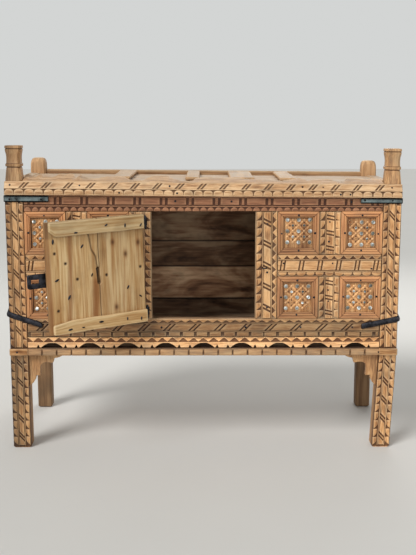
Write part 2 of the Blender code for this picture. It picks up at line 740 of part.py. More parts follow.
def back_wall_and_floor(posts):
    end = BACK_POST_INSIDE - FIT
    low_rail = tenoned(
        "low_rail_back",
        (-end, BACK_RAIL_FRONT, LEG_CLEAR), (end, BACK_RAIL_BACK, LOW_BACK_RAIL_TOP),
        0, DARK_BOARDS, posts["back_left"], posts["back_right"],
    )
    reach = BACK_POST_INSIDE + GROOVE_DEPTH
    back = DEPTH - BACK_WALL_RECESS
    front = back - WALL_BOARD_THICKNESS
    edges = [LOW_BACK_RAIL_TOP]
    for height in BACK_BOARD_HEIGHTS:
        edges.append(edges[-1] + height)
    edges.append(FRIEZE_TOP)
    for number, (bottom, top) in enumerate(zip(edges, edges[1:]), 1):
        box(
            f"back_board_{number}",
            (-reach, front, bottom + FIT), (reach, back, top - FIT), DARK_BOARDS,
        )
    for side in ("left", "right"):
        low, high = across(side, BACK_POST_INSIDE - CUT_MARGIN, reach + FIT)
        groove = cutter_box(
            f"back_board_groove_{side}",
            (low, front - FIT, edges[0]), (high, back + FIT, edges[-1]),
        )
        cut(posts[f"back_{side}"], groove)
    floor_end = POST_INSIDE - FIT
    floor_front = FRONT_RECESS + VALANCE_THICKNESS + FIT
    floor_back = BACK_RAIL_FRONT + GROOVE_DEPTH
    box(
        "floor_board",
        (-floor_end, floor_front, BASE_TOP + FIT), (floor_end, floor_back, FLOOR_TOP), DARK_BOARDS,
    )
    groove = cutter_box(
        "floor_groove",
        (-floor_end - FIT, BACK_RAIL_FRONT - CUT_MARGIN, BASE_TOP),
        (floor_end + FIT, floor_back + FIT, FLOOR_TOP + FIT),
    )
    cut(low_rail, groove)


# Door and its ironwork

def on_hinge_line(height):
    """The point of the hinge line at a height."""
    return HINGE_POINT + HINGE_UP * ((height - HINGE_POINT.z) / HINGE_UP.z)


def door_leaf():
    """Two planks side by side, held by a ledge across the top and one across the bottom."""
    seam = DOOR_LEFT + PLANK_SHARE * (DOOR_RIGHT - DOOR_LEFT)
    low, high = DOOR_BOTTOM, DOOR_TOP
    box(
        "door_plank_hinge",
        (DOOR_LEFT, DOOR_FACE, low), (seam - FIT, DOOR_BACK, high), PALE_WOOD, DOOR_LINE,
    )
    free = box(
        "door_plank_free",
        (seam + FIT, DOOR_FACE, low), (DOOR_RIGHT, DOOR_BACK, high), PALE_WOOD, DOOR_LINE,
    )
    ledges = (
        ("door_ledge_top", high - TOP_LEDGE_HEIGHT, high),
        ("door_ledge_bottom", low, low + BOTTOM_LEDGE_HEIGHT),
    )
    for name, bottom, top in ledges:
        box(
            name,
            (DOOR_LEFT, DOOR_BACK + FIT, bottom),
            (DOOR_RIGHT - LEDGE_END_GAP, DOOR_BACK + FIT + LEDGE_THICKNESS, top),
            PALE_WOOD, DOOR_LINE,
        )
    return free


def door_hinge(place, height, stile):
    """A strap with a rolled eye on the door, and the cranked pin in the stile that it turns on."""
    half_eye = HINGE_EYE_HEIGHT / 2
    start = on_hinge_line(height)
    back = DOOR_FACE - FIT
    strap = box(
        f"hinge_strap_{place}",
        (start.x, back - HINGE_STRAP_THICKNESS, height - HINGE_STRAP_HEIGHT / 2),
        (start.x + HINGE_STRAP_LENGTH, back, height + HINGE_STRAP_HEIGHT / 2),
        BLACK_IRON, DOOR_LINE,
    )
    eye_bottom, eye_top = on_hinge_line(height - half_eye), on_hinge_line(height + half_eye)
    join(strap, rod(f"hinge_eye_{place}", eye_bottom, eye_top, HINGE_EYE_RADIUS, DOOR_LINE))
    past = HINGE_UP * CUT_MARGIN
    bore = HINGE_PIN_RADIUS + HINGE_PLAY
    cut(strap, rod(f"hinge_bore_{place}", eye_bottom - past, eye_top + past, bore, DOOR_LINE))

    corner = on_hinge_line(height - half_eye - PIN_BELOW_EYE)
    tip = Vector((corner.x, FRONT_RECESS + PIN_SHANK_DEPTH, corner.z))
    top = on_hinge_line(height + half_eye + PIN_OVER_EYE)
    points = [top, *quarter_bend(corner, -HINGE_UP, (0, 1, 0), PIN_BEND), tip]
    wire(f"hinge_pin_{place}", points, HINGE_PIN_RADIUS)
    mouth = Vector((corner.x, FRONT_RECESS - CUT_MARGIN, corner.z))
    end = tip + Vector((0, HINGE_PLAY, 0))
    cut(stile, rod(f"hinge_pin_hole_{place}", mouth, end, bore))


def hasp(plank):
    """A slotted plate that turns on a staple in the door and reaches past its free edge."""
    x, y, z = HASP_POINT
    half_eye = HASP_EYE_HEIGHT / 2
    front, back = y - HASP_THICKNESS / 2, y + HASP_THICKNESS / 2
    neck_end = x + HASP_NECK_LENGTH
    plate = box(
        "hasp",
        (neck_end, front, z - HASP_HEIGHT / 2), (HASP_END, back, z + HASP_HEIGHT / 2),
        BLACK_IRON, HASP_LINE,
    )
    round_corners(plate, HASP_ROUNDING)
    neck = box(
        "hasp_neck",
        (x, front, z - half_eye), (neck_end + HASP_ROUNDING, back, z + half_eye),
        BLACK_IRON, HASP_LINE,
    )
    join(plate, as_cutter(neck))
    eye_ends = Vector((x, y, z - half_eye)), Vector((x, y, z + half_eye))
    join(plate, rod("hasp_eye", *eye_ends, HASP_EYE_RADIUS, HASP_LINE))
    past = Vector((0, 0, CUT_MARGIN))
    bore = WIRE_RADIUS + WIRE_PLAY
    cut(plate, rod("hasp_bore", eye_ends[0] - past, eye_ends[1] + past, bore, HASP_LINE))
    slot = cutter_box(
        "hasp_slot",
        (SLOT_MIDDLE - SLOT_LENGTH / 2, front - CUT_MARGIN, z - SLOT_HEIGHT / 2),
        (SLOT_MIDDLE + SLOT_LENGTH / 2, back + CUT_MARGIN, z + SLOT_HEIGHT / 2),
        HASP_LINE,
    )
    cut(plate, slot)

    reach = half_eye + WIRE_PLAY + STAPLE_BEND
    tip = DOOR_FACE + STAPLE_DEPTH
    upper, lower = Vector((x, y, z + reach)), Vector((x, y, z - reach))
    points = [Vector((x, tip, upper.z))]
    points += quarter_bend(upper, (0, -1, 0), (0, 0, -1), STAPLE_BEND)
    points += quarter_bend(lower, (0, 0, -1), (0, 1, 0), STAPLE_BEND)
    points.append(Vector((x, tip, lower.z)))
    wire("hasp_staple", points, WIRE_RADIUS, DOOR_LINE)
    for name, height in (("upper", upper.z), ("lower", lower.z)):
        mouth, end = (x, DOOR_FACE - CUT_MARGIN, height), (x, tip + WIRE_PLAY, height)
        cut(plank, rod(f"hasp_staple_hole_{name}", mouth, end, bore, DOOR_LINE))


def lock_staple(stile):
    """The loop in the right stile that the hasp's slot drops over."""
    half = LOCK_STAPLE_SPREAD / 2
    height = HASP_POINT.z
    tip = FRONT_RECESS + LOCK_STAPLE_DEPTH
    bow = FRONT_RECESS - LOCK_STAPLE_REACH
    points = [Vector((SLOT_MIDDLE - half, tip, height))]
    points += [Vector((x, y, height)) for x, y in arc((SLOT_MIDDLE, bow), (half, half), 180, 360, 8)]
    points.append(Vector((SLOT_MIDDLE + half, tip, height)))
    wire("lock_staple", points, WIRE_RADIUS)
    for name, x in (("left", SLOT_MIDDLE - half), ("right", SLOT_MIDDLE + half)):
        mouth, end = (x, FRONT_RECESS - CUT_MARGIN, height), (x, tip + WIRE_PLAY, height)
        cut(stile, rod(f"lock_staple_hole_{name}", mouth, end, WIRE_RADIUS + WIRE_PLAY))


# Corner irons

def sloped(piece, slope, along, start):
    """Leans a box's mesh so that its height follows the slope along one axis, from start."""
    for vert in piece.data.vertices:
        vert.co.z += slope * (piece.location[along] + vert.co[along] - start)
    return piece


def corner_iron(name, side, lengths, middle, height, thickness, material, slope=0.0):
    """A strap that is bent round a front corner, and may climb from the front to the side."""
    front_length, side_length = lengths
    outer = HALF + FIT + thickness
    bottom, top = middle - height / 2, middle + height / 2
    low, high = across(side, HALF - front_length, outer)
    sign = 1 if side == "right" else -1
    front = box(name, (low, -FIT - thickness, bottom), (high, -FIT, top), material)
    sloped(front, slope * sign, 0, sign * outer)
    low, high = across(side, HALF + FIT, outer)
    wing = box(f"{name}_wing", (low, -FIT - thickness, bottom), (high, side_length, top), material)
    sloped(wing, slope, 1, -FIT - thickness)
    join(front, as_cutter(wing))


def corner_irons():
    middle = FRIEZE_BOTTOM + STRAP_RISE
    for side, length in (("left", LEFT_STRAP_LENGTH), ("right", RIGHT_STRAP_LENGTH)):
        lengths = (length, STRAP_SIDE_LENGTH)
        corner_iron(
            f"corner_strap_{side}", side, lengths, middle, STRAP_HEIGHT, STRAP_THICKNESS, GREY_IRON,
        )
    bars = {
        "left": (LEFT_BAR_LENGTH, SILL_TOP + LEFT_BAR_RISE, LEFT_BAR_ANGLE),
        "right": (RIGHT_BAR_LENGTH, SILL_TOP + RIGHT_BAR_RISE, RIGHT_BAR_ANGLE),
    }
    for side, (length, middle, angle) in bars.items():
        lengths = (length, BAR_SIDE_LENGTH)
        slope = math.tan(angle)
        corner_iron(
            f"corner_bar_{side}", side, lengths, middle, BAR_HEIGHT, BAR_THICKNESS, BLACK_IRON, slope,
        )


# Assembly

def open_the_door():
    """Swings the door about its hinge line, which points down so that a positive turn opens."""
    empty = DOOR_LINE.empty
    empty.rotation_mode = "AXIS_ANGLE"
    empty.rotation_axis_angle = (DOOR_OPEN_ANGLE, *(-HINGE_UP))


def centre_on_footprint():
    """Moves the chest so that the middle of its box, with the door open, is over the origin."""
    bpy.context.view_layer.update()
    graph = bpy.context.evaluated_depsgraph_get()
    reach = []
    for piece in CHEST.objects:
        if piece.type == "EMPTY":
            continue
        solid = piece.evaluated_get(graph)
        reach += [(solid.matrix_world @ Vector(corner)).y for corner in mesh_corners(solid)]
    STAND.empty.location.y = -(min(reach) + max(reach)) / 2
    bpy.context.view_layer.update()


def mesh_corners(solid):
    mesh = solid.to_mesh()
    points = [vert.co.copy() for vert in mesh.vertices]
    solid.to_mesh_clear()
    return points


def main():
    posts = {f"front_{side}": front_post(side) for side in ("left", "right")}
    posts.update({f"back_{side}": back_post(side) for side in ("left", "right")})
    stiles = rails_and_stiles(posts)
    valance()
    base_rail()
    front_top_rail()
    top_frame(posts)
    back_wall_and_floor(posts)
    for side in ("left", "right"):
        strips_and_frames(side)
        leg_bracket(side)
        side_wall(side, posts)
    free_plank = door_leaf()
    for place, height in HINGE_HEIGHTS.items():
        door_hinge(place, height, stiles["left"])
    hasp(free_plank)
    lock_staple(stiles["right"])
    corner_irons()
    open_the_door()
    centre_on_footprint()
    for carrier in (DOOR_LINE, HASP_LINE):
        place = carrier.empty.matrix_world
        axis = place.to_3x3() @ (-HINGE_UP if carrier is DOOR_LINE else Vector((0, 0, -1)))
        print(carrier.empty.name, [round(v, 6) for v in place.translation], [round(v, 6) for v in axis])


main()
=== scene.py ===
# Damchiya chest: carved front, mirror panels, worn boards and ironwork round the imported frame
import json
import math
import zlib

import bmesh
import bpy
from mathutils import Matrix, Vector, noise


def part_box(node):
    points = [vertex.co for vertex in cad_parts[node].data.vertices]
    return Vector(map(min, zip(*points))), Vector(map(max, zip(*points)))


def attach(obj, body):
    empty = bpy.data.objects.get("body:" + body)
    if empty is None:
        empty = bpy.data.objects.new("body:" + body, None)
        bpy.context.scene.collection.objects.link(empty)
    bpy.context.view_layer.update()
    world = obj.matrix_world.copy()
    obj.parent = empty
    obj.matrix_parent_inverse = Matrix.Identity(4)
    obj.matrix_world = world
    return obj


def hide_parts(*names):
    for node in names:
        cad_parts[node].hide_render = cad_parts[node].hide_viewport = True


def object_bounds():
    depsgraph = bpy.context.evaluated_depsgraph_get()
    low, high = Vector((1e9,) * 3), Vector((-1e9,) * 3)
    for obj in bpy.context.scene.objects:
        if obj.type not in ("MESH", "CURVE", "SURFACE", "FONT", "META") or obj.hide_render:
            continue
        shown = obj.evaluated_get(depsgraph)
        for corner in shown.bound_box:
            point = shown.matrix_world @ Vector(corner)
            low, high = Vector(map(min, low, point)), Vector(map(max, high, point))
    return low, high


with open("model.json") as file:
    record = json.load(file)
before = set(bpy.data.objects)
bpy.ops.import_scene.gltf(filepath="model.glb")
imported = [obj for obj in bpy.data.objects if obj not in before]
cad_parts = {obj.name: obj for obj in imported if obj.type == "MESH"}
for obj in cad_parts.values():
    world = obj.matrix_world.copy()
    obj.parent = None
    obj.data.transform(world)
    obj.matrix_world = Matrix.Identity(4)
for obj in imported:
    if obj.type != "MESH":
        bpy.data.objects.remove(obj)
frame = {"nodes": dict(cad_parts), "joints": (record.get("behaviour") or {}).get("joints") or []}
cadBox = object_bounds()

# Y runs back from the front posts' faces while a piece is made; finishing moves it into the frame
chest = {
    "fit": 0.0003,             # gap between two solids that touch
    "railRecess": 0.002,       # front rails behind the posts' faces
    "postSpacing": 1.145,      # between the middles of the front posts
    "half": 0.600,
    "postInside": 0.545,
    "legClear": 0.301,
    "legLean": 0.014,          # right foot, crept in
    "friezeHeight": 0.0475,
    "ground": 0.0034,          # depth of the carved ground behind a board's face
    "join": 0.0013,            # carved tongues run into each other by this at the foot
    "seed": 5,                 # the same unevenness in each run
}
noise.seed_set(chest["seed"])
fit = chest["fit"]
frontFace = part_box("mid_rail_left")[0].y - chest["railRecess"]
topLean = (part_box("post_front_left")[1].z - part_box("post_front_right")[1].z) / chest["postSpacing"]
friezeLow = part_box("panel_frame_left_upper_outer")[1].z + fit
friezeTop = friezeLow + chest["friezeHeight"]
doorJoint = next(joint for joint in frame["joints"] if joint["name"] == "door_hinge")
hingePoint = Vector(doorJoint["pos_m"])
openAngle = math.radians(-doorJoint["range_deg"][0])
doorSwing = (Matrix.Translation(hingePoint) @ Matrix.Rotation(openAngle, 4, Vector(doorJoint["axis"]))
             @ Matrix.Translation(-hingePoint))


def nodeBox(name):
    low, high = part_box(name)
    back = Vector((0, frontFace, 0))
    return low - back, high - back


def levelBox(name):                 # box of a piece over the frieze, before the top's fall to the right
    low, high = nodeBox(name)
    low.z += topLean * high.x
    high.z += topLean * low.x
    return low, high


def spread(name, step=0.0):         # a fixed number from 0 to 1 for a name
    return (zlib.crc32(f"{name}{step}".encode()) % 9973) / 9973


# Materials

def linear(hexColour):
    values = [int(hexColour[i:i + 2], 16) / 255 for i in (1, 3, 5)]
    return (*(v / 12.92 if v <= 0.04045 else ((v + 0.055) / 1.055) ** 2.4 for v in values), 1.0)


def addNode(tree, kind, settings=None, inputs=None):
    node = tree.nodes.new(kind)
    for key, value in (settings or {}).items():
        setattr(node, key, value)
    for key, value in (inputs or {}).items():
        if isinstance(value, bpy.types.NodeSocket):
            tree.links.new(value, node.inputs[key])
        else:
            node.inputs[key].default_value = value
    return node


def agedWood(name, look):
    made = bpy.data.materials.new(name)
    made.use_nodes = True
    tree = made.node_tree
    shader = tree.nodes["Principled BSDF"]
    grain = addNode(tree, "ShaderNodeAttribute", {"attribute_name": "grain"}).outputs["Vector"]
    relief = addNode(tree, "ShaderNodeAttribute", {"attribute_name": "relief"}).outputs["Fac"]
    edge = addNode(tree, "ShaderNodeAttribute", {"attribute_name": "edge"}).outputs["Fac"]
    tone = addNode(tree, "ShaderNodeAttribute", {"attribute_name": "tone"}).outputs["Fac"]

    def pattern(length, width, detail, roughness=0.6, distortion=0.0):
        size = (1 / length, 1 / width, 1 / width)
        along = addNode(tree, "ShaderNodeMapping", None, {"Vector": grain, "Scale": size})
        made = addNode(tree, "ShaderNodeTexNoise", None, {
            "Vector": along.outputs["Vector"], "Scale": 1.0, "Detail": detail,
            "Roughness": roughness, "Distortion": distortion,
        })
        return made.outputs["Fac"]

    def maths(operation, first, second, third=0.0):
        node = addNode(tree, "ShaderNodeMath", {"operation": operation}, {0: first, 1: second, 2: third})
        return node.outputs["Value"]

    def mixed(factor, first, second, blend="MIX"):
        settings = {"data_type": "RGBA", "blend_type": blend}
        return addNode(tree, "ShaderNodeMix", settings, {0: factor, 6: first, 7: second}).outputs[2]

    fibres = pattern(look["fibreLength"], look["fibreWidth"], 5.0)
    figure = pattern(look["figureLength"], look["figureWidth"], 3.0, 0.5, 1.2)
    patches = pattern(0.09, 0.07, 3.0)
    streaks = look.get("streaks", 0.55)
    both = maths("MULTIPLY_ADD", figure, 1 - streaks, maths("MULTIPLY", fibres, streaks))
    ramp = addNode(tree, "ShaderNodeValToRGB", None, {"Fac": both})
    stops = ramp.color_ramp.elements
    stops[0].position, stops[0].color = 0.38, linear(look["dark"])
    stops[1].position, stops[1].color = 0.60, linear(look["light"])
    middle = stops.new(0.48)
    middle.color = linear(look["middle"])
    # low relief takes the recess colour: wax and dirt in the cuts and seams, and painted shade in hollows,
    # gaps and under overhangs
    lowered = maths("MULTIPLY", maths("SUBTRACT", 1.0, relief), look["dirt"])
    stained = mixed(maths("MULTIPLY", edge, -1.0), ramp.outputs["Color"],
        linear(look.get("stain", look["dark"])))
    shadedAndSoiled = mixed(lowered, stained, linear(look["recess"]))
    grime = addNode(tree, "ShaderNodeMapRange", None,
        {"Value": patches, 1: 0.50, 2: 0.72, 3: 0.0, 4: look["grime"]})
    shadedAndSoiled = mixed(grime.outputs["Result"], shadedAndSoiled, linear(look["recess"]))
    rubbed = maths("MULTIPLY", edge, maths("MULTIPLY", patches, look["rubbed"]))
    rubbed = mixed(rubbed, shadedAndSoiled, linear(look["worn"]))
    facing = addNode(tree, "ShaderNodeNewGeometry").outputs["Normal"]
    upward = addNode(tree, "ShaderNodeSeparateXYZ", None, {"Vector": facing}).outputs["Z"]
    lying = addNode(tree, "ShaderNodeMapRange", None,
        {"Value": upward, 1: 0.75, 2: 0.98, 3: 0.0, 4: look["dust"]})
    dusty = mixed(maths("MULTIPLY", lying.outputs["Result"], patches), rubbed, linear("#C8B7A0"))
    value = maths("MULTIPLY_ADD", tone, 0.40, 0.80)
    toned = addNode(tree, "ShaderNodeHueSaturation", None, {"Color": dusty, "Value": value})
    tree.links.new(toned.outputs["Color"], shader.inputs["Base Color"])
    rough = addNode(tree, "ShaderNodeMapRange", None,
        {"Value": fibres, 1: 0.3, 2: 0.7, 3: look["smooth"], 4: look["rough"]})
    tree.links.new(rough.outputs["Result"], shader.inputs["Roughness"])
    shader.inputs["Specular IOR Level"].default_value = look["specular"]
    bump = addNode(tree, "ShaderNodeBump", None, {"Strength": look["bump"], "Distance": 0.0012,
        "Height": fibres})
    tree.links.new(bump.outputs["Normal"], shader.inputs["Normal"])
    return made


# Old teak, hand carved and waxed: honey on the raised wood, brown wax and painted shade in the cuts, pale
# rubbed arrises
carvedTeak = agedWood("hand_carved_old_teak", {
    "dark": "#845229", "middle": "#C18A55", "light": "#E6B57E", "recess": "#3F1F0D", "worn": "#EBCBA0",
    "dirt": 0.95, "grime": 0.55, "rubbed": 0.75, "dust": 0.15,
    # coarser than real pores, to show
    "fibreLength": 0.034, "fibreWidth": 0.0028, "figureLength": 0.26, "figureWidth": 0.022,
    "smooth": 0.48, "rough": 0.72, "specular": 0.35, "bump": 0.35,
})
# The same teak on the top rail, bleached by daylight and scrubbed
bleachedTeak = agedWood("scrubbed_bleached_teak", {
    "dark": "#7D522F", "middle": "#B88B5F", "light": "#DBB68B", "recess": "#3F2110", "worn": "#E6CBA4",
    "dirt": 0.95, "grime": 0.5, "rubbed": 0.75, "dust": 0.10,
    "fibreLength": 0.034, "fibreWidth": 0.0028, "figureLength": 0.26, "figureWidth": 0.022,
    "smooth": 0.50, "rough": 0.74, "specular": 0.33, "bump": 0.35,
})
# The mitred mouldings: straight red-brown teak, oiled and darker than the carving round it
mouldingTeak = agedWood("oiled_red_brown_teak", {
    "dark": "#7C4A28", "middle": "#A87147", "light": "#C08A59", "recess": "#3A1C0D", "worn": "#D2A67A",
    "dirt": 0.9, "grime": 0.35, "rubbed": 0.9, "dust": 0.4,
    "fibreLength": 0.080, "fibreWidth": 0.0030, "figureLength": 0.30, "figureWidth": 0.016,
    "smooth": 0.46, "rough": 0.70, "specular": 0.35, "bump": 0.3,
})
# Heartwood of the frieze: the same teak, redder, and darkened with painted shade for the top rail's overhang
redShadedTeak = agedWood("red_heartwood_teak_painted_shade", {
    "dark": "#6B432C", "middle": "#8D5E42", "light": "#A87858", "recess": "#38190D", "worn": "#B88C68",
    "dirt": 0.9, "grime": 0.35, "rubbed": 0.7, "dust": 0.3,
    "fibreLength": 0.060, "fibreWidth": 0.0040, "figureLength": 0.26, "figureWidth": 0.022,
    "smooth": 0.50, "rough": 0.75, "specular": 0.3, "bump": 0.4,
})
# The same teak in flat sawn and planed boards, dry and a little greyer
plainTeak = agedWood("dry_sawn_old_teak", {
    "dark": "#7A5535", "middle": "#A07650", "light": "#BE966C", "recess": "#4A2E1B", "worn": "#CFAE85",
    "dirt": 0.8, "grime": 0.5, "rubbed": 0.9, "dust": 1.1,
    "fibreLength": 0.14, "fibreWidth": 0.006, "figureLength": 0.5, "figureWidth": 0.035,
    "smooth": 0.58, "rough": 0.82, "specular": 0.3, "bump": 0.4,
})
# Unplaned boards inside and behind, darkened by smoke and age
smokedBoards = agedWood("smoke_dark_rough_boards", {
    "dark": "#4C3323", "middle": "#846248", "light": "#B09374", "recess": "#241811", "worn": "#A98E70",
    "dirt": 0.95, "grime": 0.6, "rubbed": 0.4, "dust": 0.5, "streaks": 0.30,
    "fibreLength": 0.10, "fibreWidth": 0.009, "figureLength": 0.20, "figureWidth": 0.080,
    "smooth": 0.70, "rough": 0.92, "specular": 0.25, "bump": 0.5,
})
# Pale planks of the door's inner face: yellowish sapwood with brown streaks; the near-black recess colour is
# painted shade in the split, the slit, the nail holes and under the top ledge
paleDoorWood = agedWood("pale_sapwood_planks", {
    "dark": "#A67B49", "middle": "#C09B69", "light": "#DABE8F", "recess": "#1E0D04", "worn": "#E4CDA2",
    "stain": "#8C5526", "dirt": 1.0, "grime": 0.22, "rubbed": 0.7, "dust": 0.3,
    "fibreLength": 0.14, "fibreWidth": 0.006, "figureLength": 0.36, "figureWidth": 0.040,
    "smooth": 0.50, "rough": 0.74, "specular": 0.32, "bump": 0.3,
})


def forgedIron(name, look):
    made = bpy.data.materials.new(name)
    made.use_nodes = True
    tree = made.node_tree
    shader = tree.nodes["Principled BSDF"]
    place = addNode(tree, "ShaderNodeTexCoord").outputs["Object"]
    scale = addNode(tree, "ShaderNodeTexNoise", None,
        {"Vector": place, "Scale": 1 / look["patch"], "Detail": 5.0, "Roughness": 0.65})
    ramp = addNode(tree, "ShaderNodeValToRGB", None, {"Fac": scale.outputs["Fac"]})
    stops = ramp.color_ramp.elements
    stops[0].position, stops[0].color = 0.34, linear(look["dark"])
    stops[1].position, stops[1].color = 0.66, linear(look["light"])
    edge = addNode(tree, "ShaderNodeAttribute", {"attribute_name": "edge"}).outputs["Fac"]
    # edges take the dark colour: painted shade, so that flat iron looks rounded
    edgeShade = addNode(tree, "ShaderNodeMath", {"operation": "MULTIPLY"}, {0: edge, 1: look["edgeShade"]}).outputs[0]
    shadedSkin = addNode(tree, "ShaderNodeMix", {"data_type": "RGBA"},
        {0: edgeShade, 6: ramp.outputs["Color"], 7: linear(look["dark"])})
    tree.links.new(shadedSkin.outputs[2], shader.inputs["Base Color"])
    rough = addNode(tree, "ShaderNodeMapRange", None,
        {"Value": scale.outputs["Fac"], 1: 0.3, 2: 0.7, 3: look["smooth"], 4: look["rough"]})
    tree.links.new(rough.outputs["Result"], shader.inputs["Roughness"])
    shader.inputs["Metallic"].default_value = look["metallic"]
    dents = addNode(tree, "ShaderNodeTexNoise", None,
        {"Vector": place, "Scale": 1 / look["dent"], "Detail": 2.0})
    bump = addNode(tree, "ShaderNodeBump", None, {"Strength": look["bump"], "Distance": 0.002,
        "Height": dents.outputs["Fac"]})
    tree.links.new(bump.outputs["Normal"], shader.inputs["Normal"])
    return made


# Flat strap iron with a dull blue-grey oxide skin, its edges darkened with painted shade so that the flat
# strap looks rounded
greyStrapIron = forgedIron("oxidised_strap_iron", {
    "dark": "#1E2222", "light": "#7D8B8B", "patch": 0.030, "dent": 0.014, "edgeShade": 0.9,
    "smooth": 0.42, "rough": 0.68, "metallic": 0.55, "bump": 0.35,
})
# Hammered bar and sheet iron, blackened in the forge
blackIron = forgedIron("blackened_forged_iron", {
    "dark": "#0E0E10", "light": "#404046", "patch": 0.016, "dent": 0.010, "edgeShade": 0.0,
    "smooth": 0.36, "rough": 0.60, "metallic": 0.85, "bump": 0.4,
})


def mirrorGlass():                  # Old silvered glass, with cloudy spots where the silver has gone; its bright colour is partly diffuse, a painted reflection
    made = bpy.data.materials.new("clouded_mirror_glass")
    made.use_nodes = True
    tree = made.node_tree
    shader = tree.nodes["Principled BSDF"]
    place = addNode(tree, "ShaderNodeTexCoord").outputs["Object"]
    cloud = addNode(tree, "ShaderNodeTexNoise", None, {"Vector": place, "Scale": 1 / 0.016, "Detail": 4.0})
    ramp = addNode(tree, "ShaderNodeValToRGB", None, {"Fac": cloud.outputs["Fac"]})
    stops = ramp.color_ramp.elements
    stops[0].position, stops[0].color = 0.41, linear("#40484A")
    stops[1].position, stops[1].color = 0.59, linear("#E2E8E8")
    relief = addNode(tree, "ShaderNodeAttribute", {"attribute_name": "relief"}).outputs["Fac"]
    bare = addNode(tree, "ShaderNodeMix", {"data_type": "RGBA"},
        {0: relief, 6: linear("#77746A"), 7: ramp.outputs["Color"]})
    tree.links.new(bare.outputs[2], shader.inputs["Base Color"])
    shader.inputs["Metallic"].default_value = 0.7
    rough = addNode(tree, "ShaderNodeMapRange", None,
        {"Value": cloud.outputs["Fac"], 1: 0.35, 2: 0.6, 3: 0.48, 4: 0.26})
    tree.links.new(rough.outputs["Result"], shader.inputs["Roughness"])
    return made


mirrorSilver = mirrorGlass()
print("materials made")


# Shells: lists of points and faces, with the marks that the wood reads

def newShell():
    return {"points": [], "faces": [], "relief": [], "edge": [], "grain": []}


def grainOf(point, along, offset):
    x, y, z = point
    turned = {"x": (x, y, z), "y": (y, x, z), "z": (z, x, y)}[along]
    return (turned[0] + offset[0], turned[1] + offset[1], turned[2] + offset[2])


def grainOffset(name):
    return (3.1 * spread(name, 1), 2.3 * spread(name, 2), 1.7 * spread(name, 3))


def addLoops(shell, loops, along, offset=(0, 0, 0), closed=True):
    # loops of (point, relief, edge), all the same length, from one end of a solid to the other
    first = len(shell["points"])
    count = len(loops[0])
    for loop in loops:
        for point, relief, edge in loop:
            shell["points"].append(Vector(point))
            shell["relief"].append(relief)
            shell["edge"].append(edge)
            shell["grain"].append(grainOf(point, along, offset))
    for row in range(len(loops) - 1):
        for i in range(count):
            a = first + row * count + i
            b = first + row * count + (i + 1) % count
            shell["faces"].append((a, b, b + count, a + count))
    if closed:
        last = first + (len(loops) - 1) * count
        shell["faces"].append(tuple(first + i for i in reversed(range(count))))
        shell["faces"].append(tuple(last + i for i in range(count)))


def addMesh(shell, mesh, along, offset=(0, 0, 0), leastRelief=0.0):
    first = len(shell["points"])
    marks = {}
    for key, plain in (("relief", 1.0), ("edge", 0.0)):
        layer = mesh.attributes.get(key)
        marks[key] = [item.value for item in layer.data] if layer else [plain] * len(mesh.vertices)
    for index, vert in enumerate(mesh.vertices):
        shell["points"].append(vert.co.copy())
        shell["relief"].append(max(leastRelief, marks["relief"][index]))
        shell["edge"].append(marks["edge"][index])
        shell["grain"].append(grainOf(vert.co, along, offset))
    for polygon in mesh.polygons:
        shell["faces"].append(tuple(first + i for i in polygon.vertices))


def wobble(shell, amount, size, limitY=None):       # the unevenness of hand work
    for index, point in enumerate(shell["points"]):
        moved = point + noise.noise_vector(point / size) * amount
        if limitY is not None:
            moved.y = max(moved.y, limitY)
        shell["points"][index] = moved


def meshOf(name, shell):
    mesh = bpy.data.meshes.new(name)
    mesh.from_pydata([tuple(p) for p in shell["points"]], [], shell["faces"])
    for key in ("relief", "edge"):
        layer = mesh.attributes.new(key, "FLOAT", "POINT")
        layer.data.foreach_set("value", shell[key])
    layer = mesh.attributes.new("grain", "FLOAT_VECTOR", "POINT")
    layer.data.foreach_set("vector", [value for vector in shell["grain"] for value in vector])
    return mesh


def settle(mesh):                   # the top falls to the right, as the frame's does
    for vert in mesh.vertices:
        share = min(max((vert.co.z - friezeLow) / chest["friezeHeight"], 0.0), 1.0)
        vert.co.z -= topLean * vert.co.x * share


def setTone(mesh, tone):            # a number, or a rule that gives one for each point
    layer = mesh.attributes.get("tone") or mesh.attributes.new("tone", "FLOAT", "POINT")
    values = [tone(vert.co) if callable(tone) else tone for vert in mesh.vertices]
    layer.data.foreach_set("value", values)


def rising(steps):                  # a tone that changes with height, between the steps given
    def toneAt(point):
        for (low, first), (high, second) in zip(steps, steps[1:]):
            if point.z <= high:
                return first + (second - first) * max(0.0, point.z - low) / (high - low)
        return steps[-1][1]
    return toneAt


def dress(name, mesh, material, nodes, body, smooth):      # a mesh that is already in its place
    shaped = bmesh.new()
    shaped.from_mesh(mesh)
    bmesh.ops.recalc_face_normals(shaped, faces=shaped.faces)
    shaped.to_mesh(mesh)
    shaped.free()
    for vert in mesh.vertices:      # wear never leaves the frame's own box
        vert.co = [min(max(vert.co[i], cadBox[0][i]), cadBox[1][i]) for i in range(3)]
    mesh.materials.clear()
    mesh.materials.append(material)
    mesh.polygons.foreach_set("use_smooth", [True] * len(mesh.polygons))
    mesh.set_sharp_from_angle(angle=math.radians(smooth))
    mesh.validate()
    piece = bpy.data.objects.new(name, mesh)
    bpy.context.scene.collection.objects.link(piece)
    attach(piece, body)
    if nodes:
        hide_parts(*nodes)
    return piece


def finishPiece(name, mesh, material, nodes=(), body="carcass", tone=None, smooth=32):
    setTone(mesh, 0.3 + 0.4 * spread(name) if tone is None else tone)
    if body == "carcass":
        settle(mesh)
    mesh.transform(Matrix.Translation((0, frontFace, 0)))
    if body != "carcass":
        mesh.transform(doorSwing)
    return dress(name, mesh, material, nodes, body, smooth)


def finishShell(name, shell, material, nodes=(), body="carcass", tone=None, smooth=32):
    return finishPiece(name, meshOf(name, shell), material, nodes, body, tone, smooth)


# Boards with worn edges

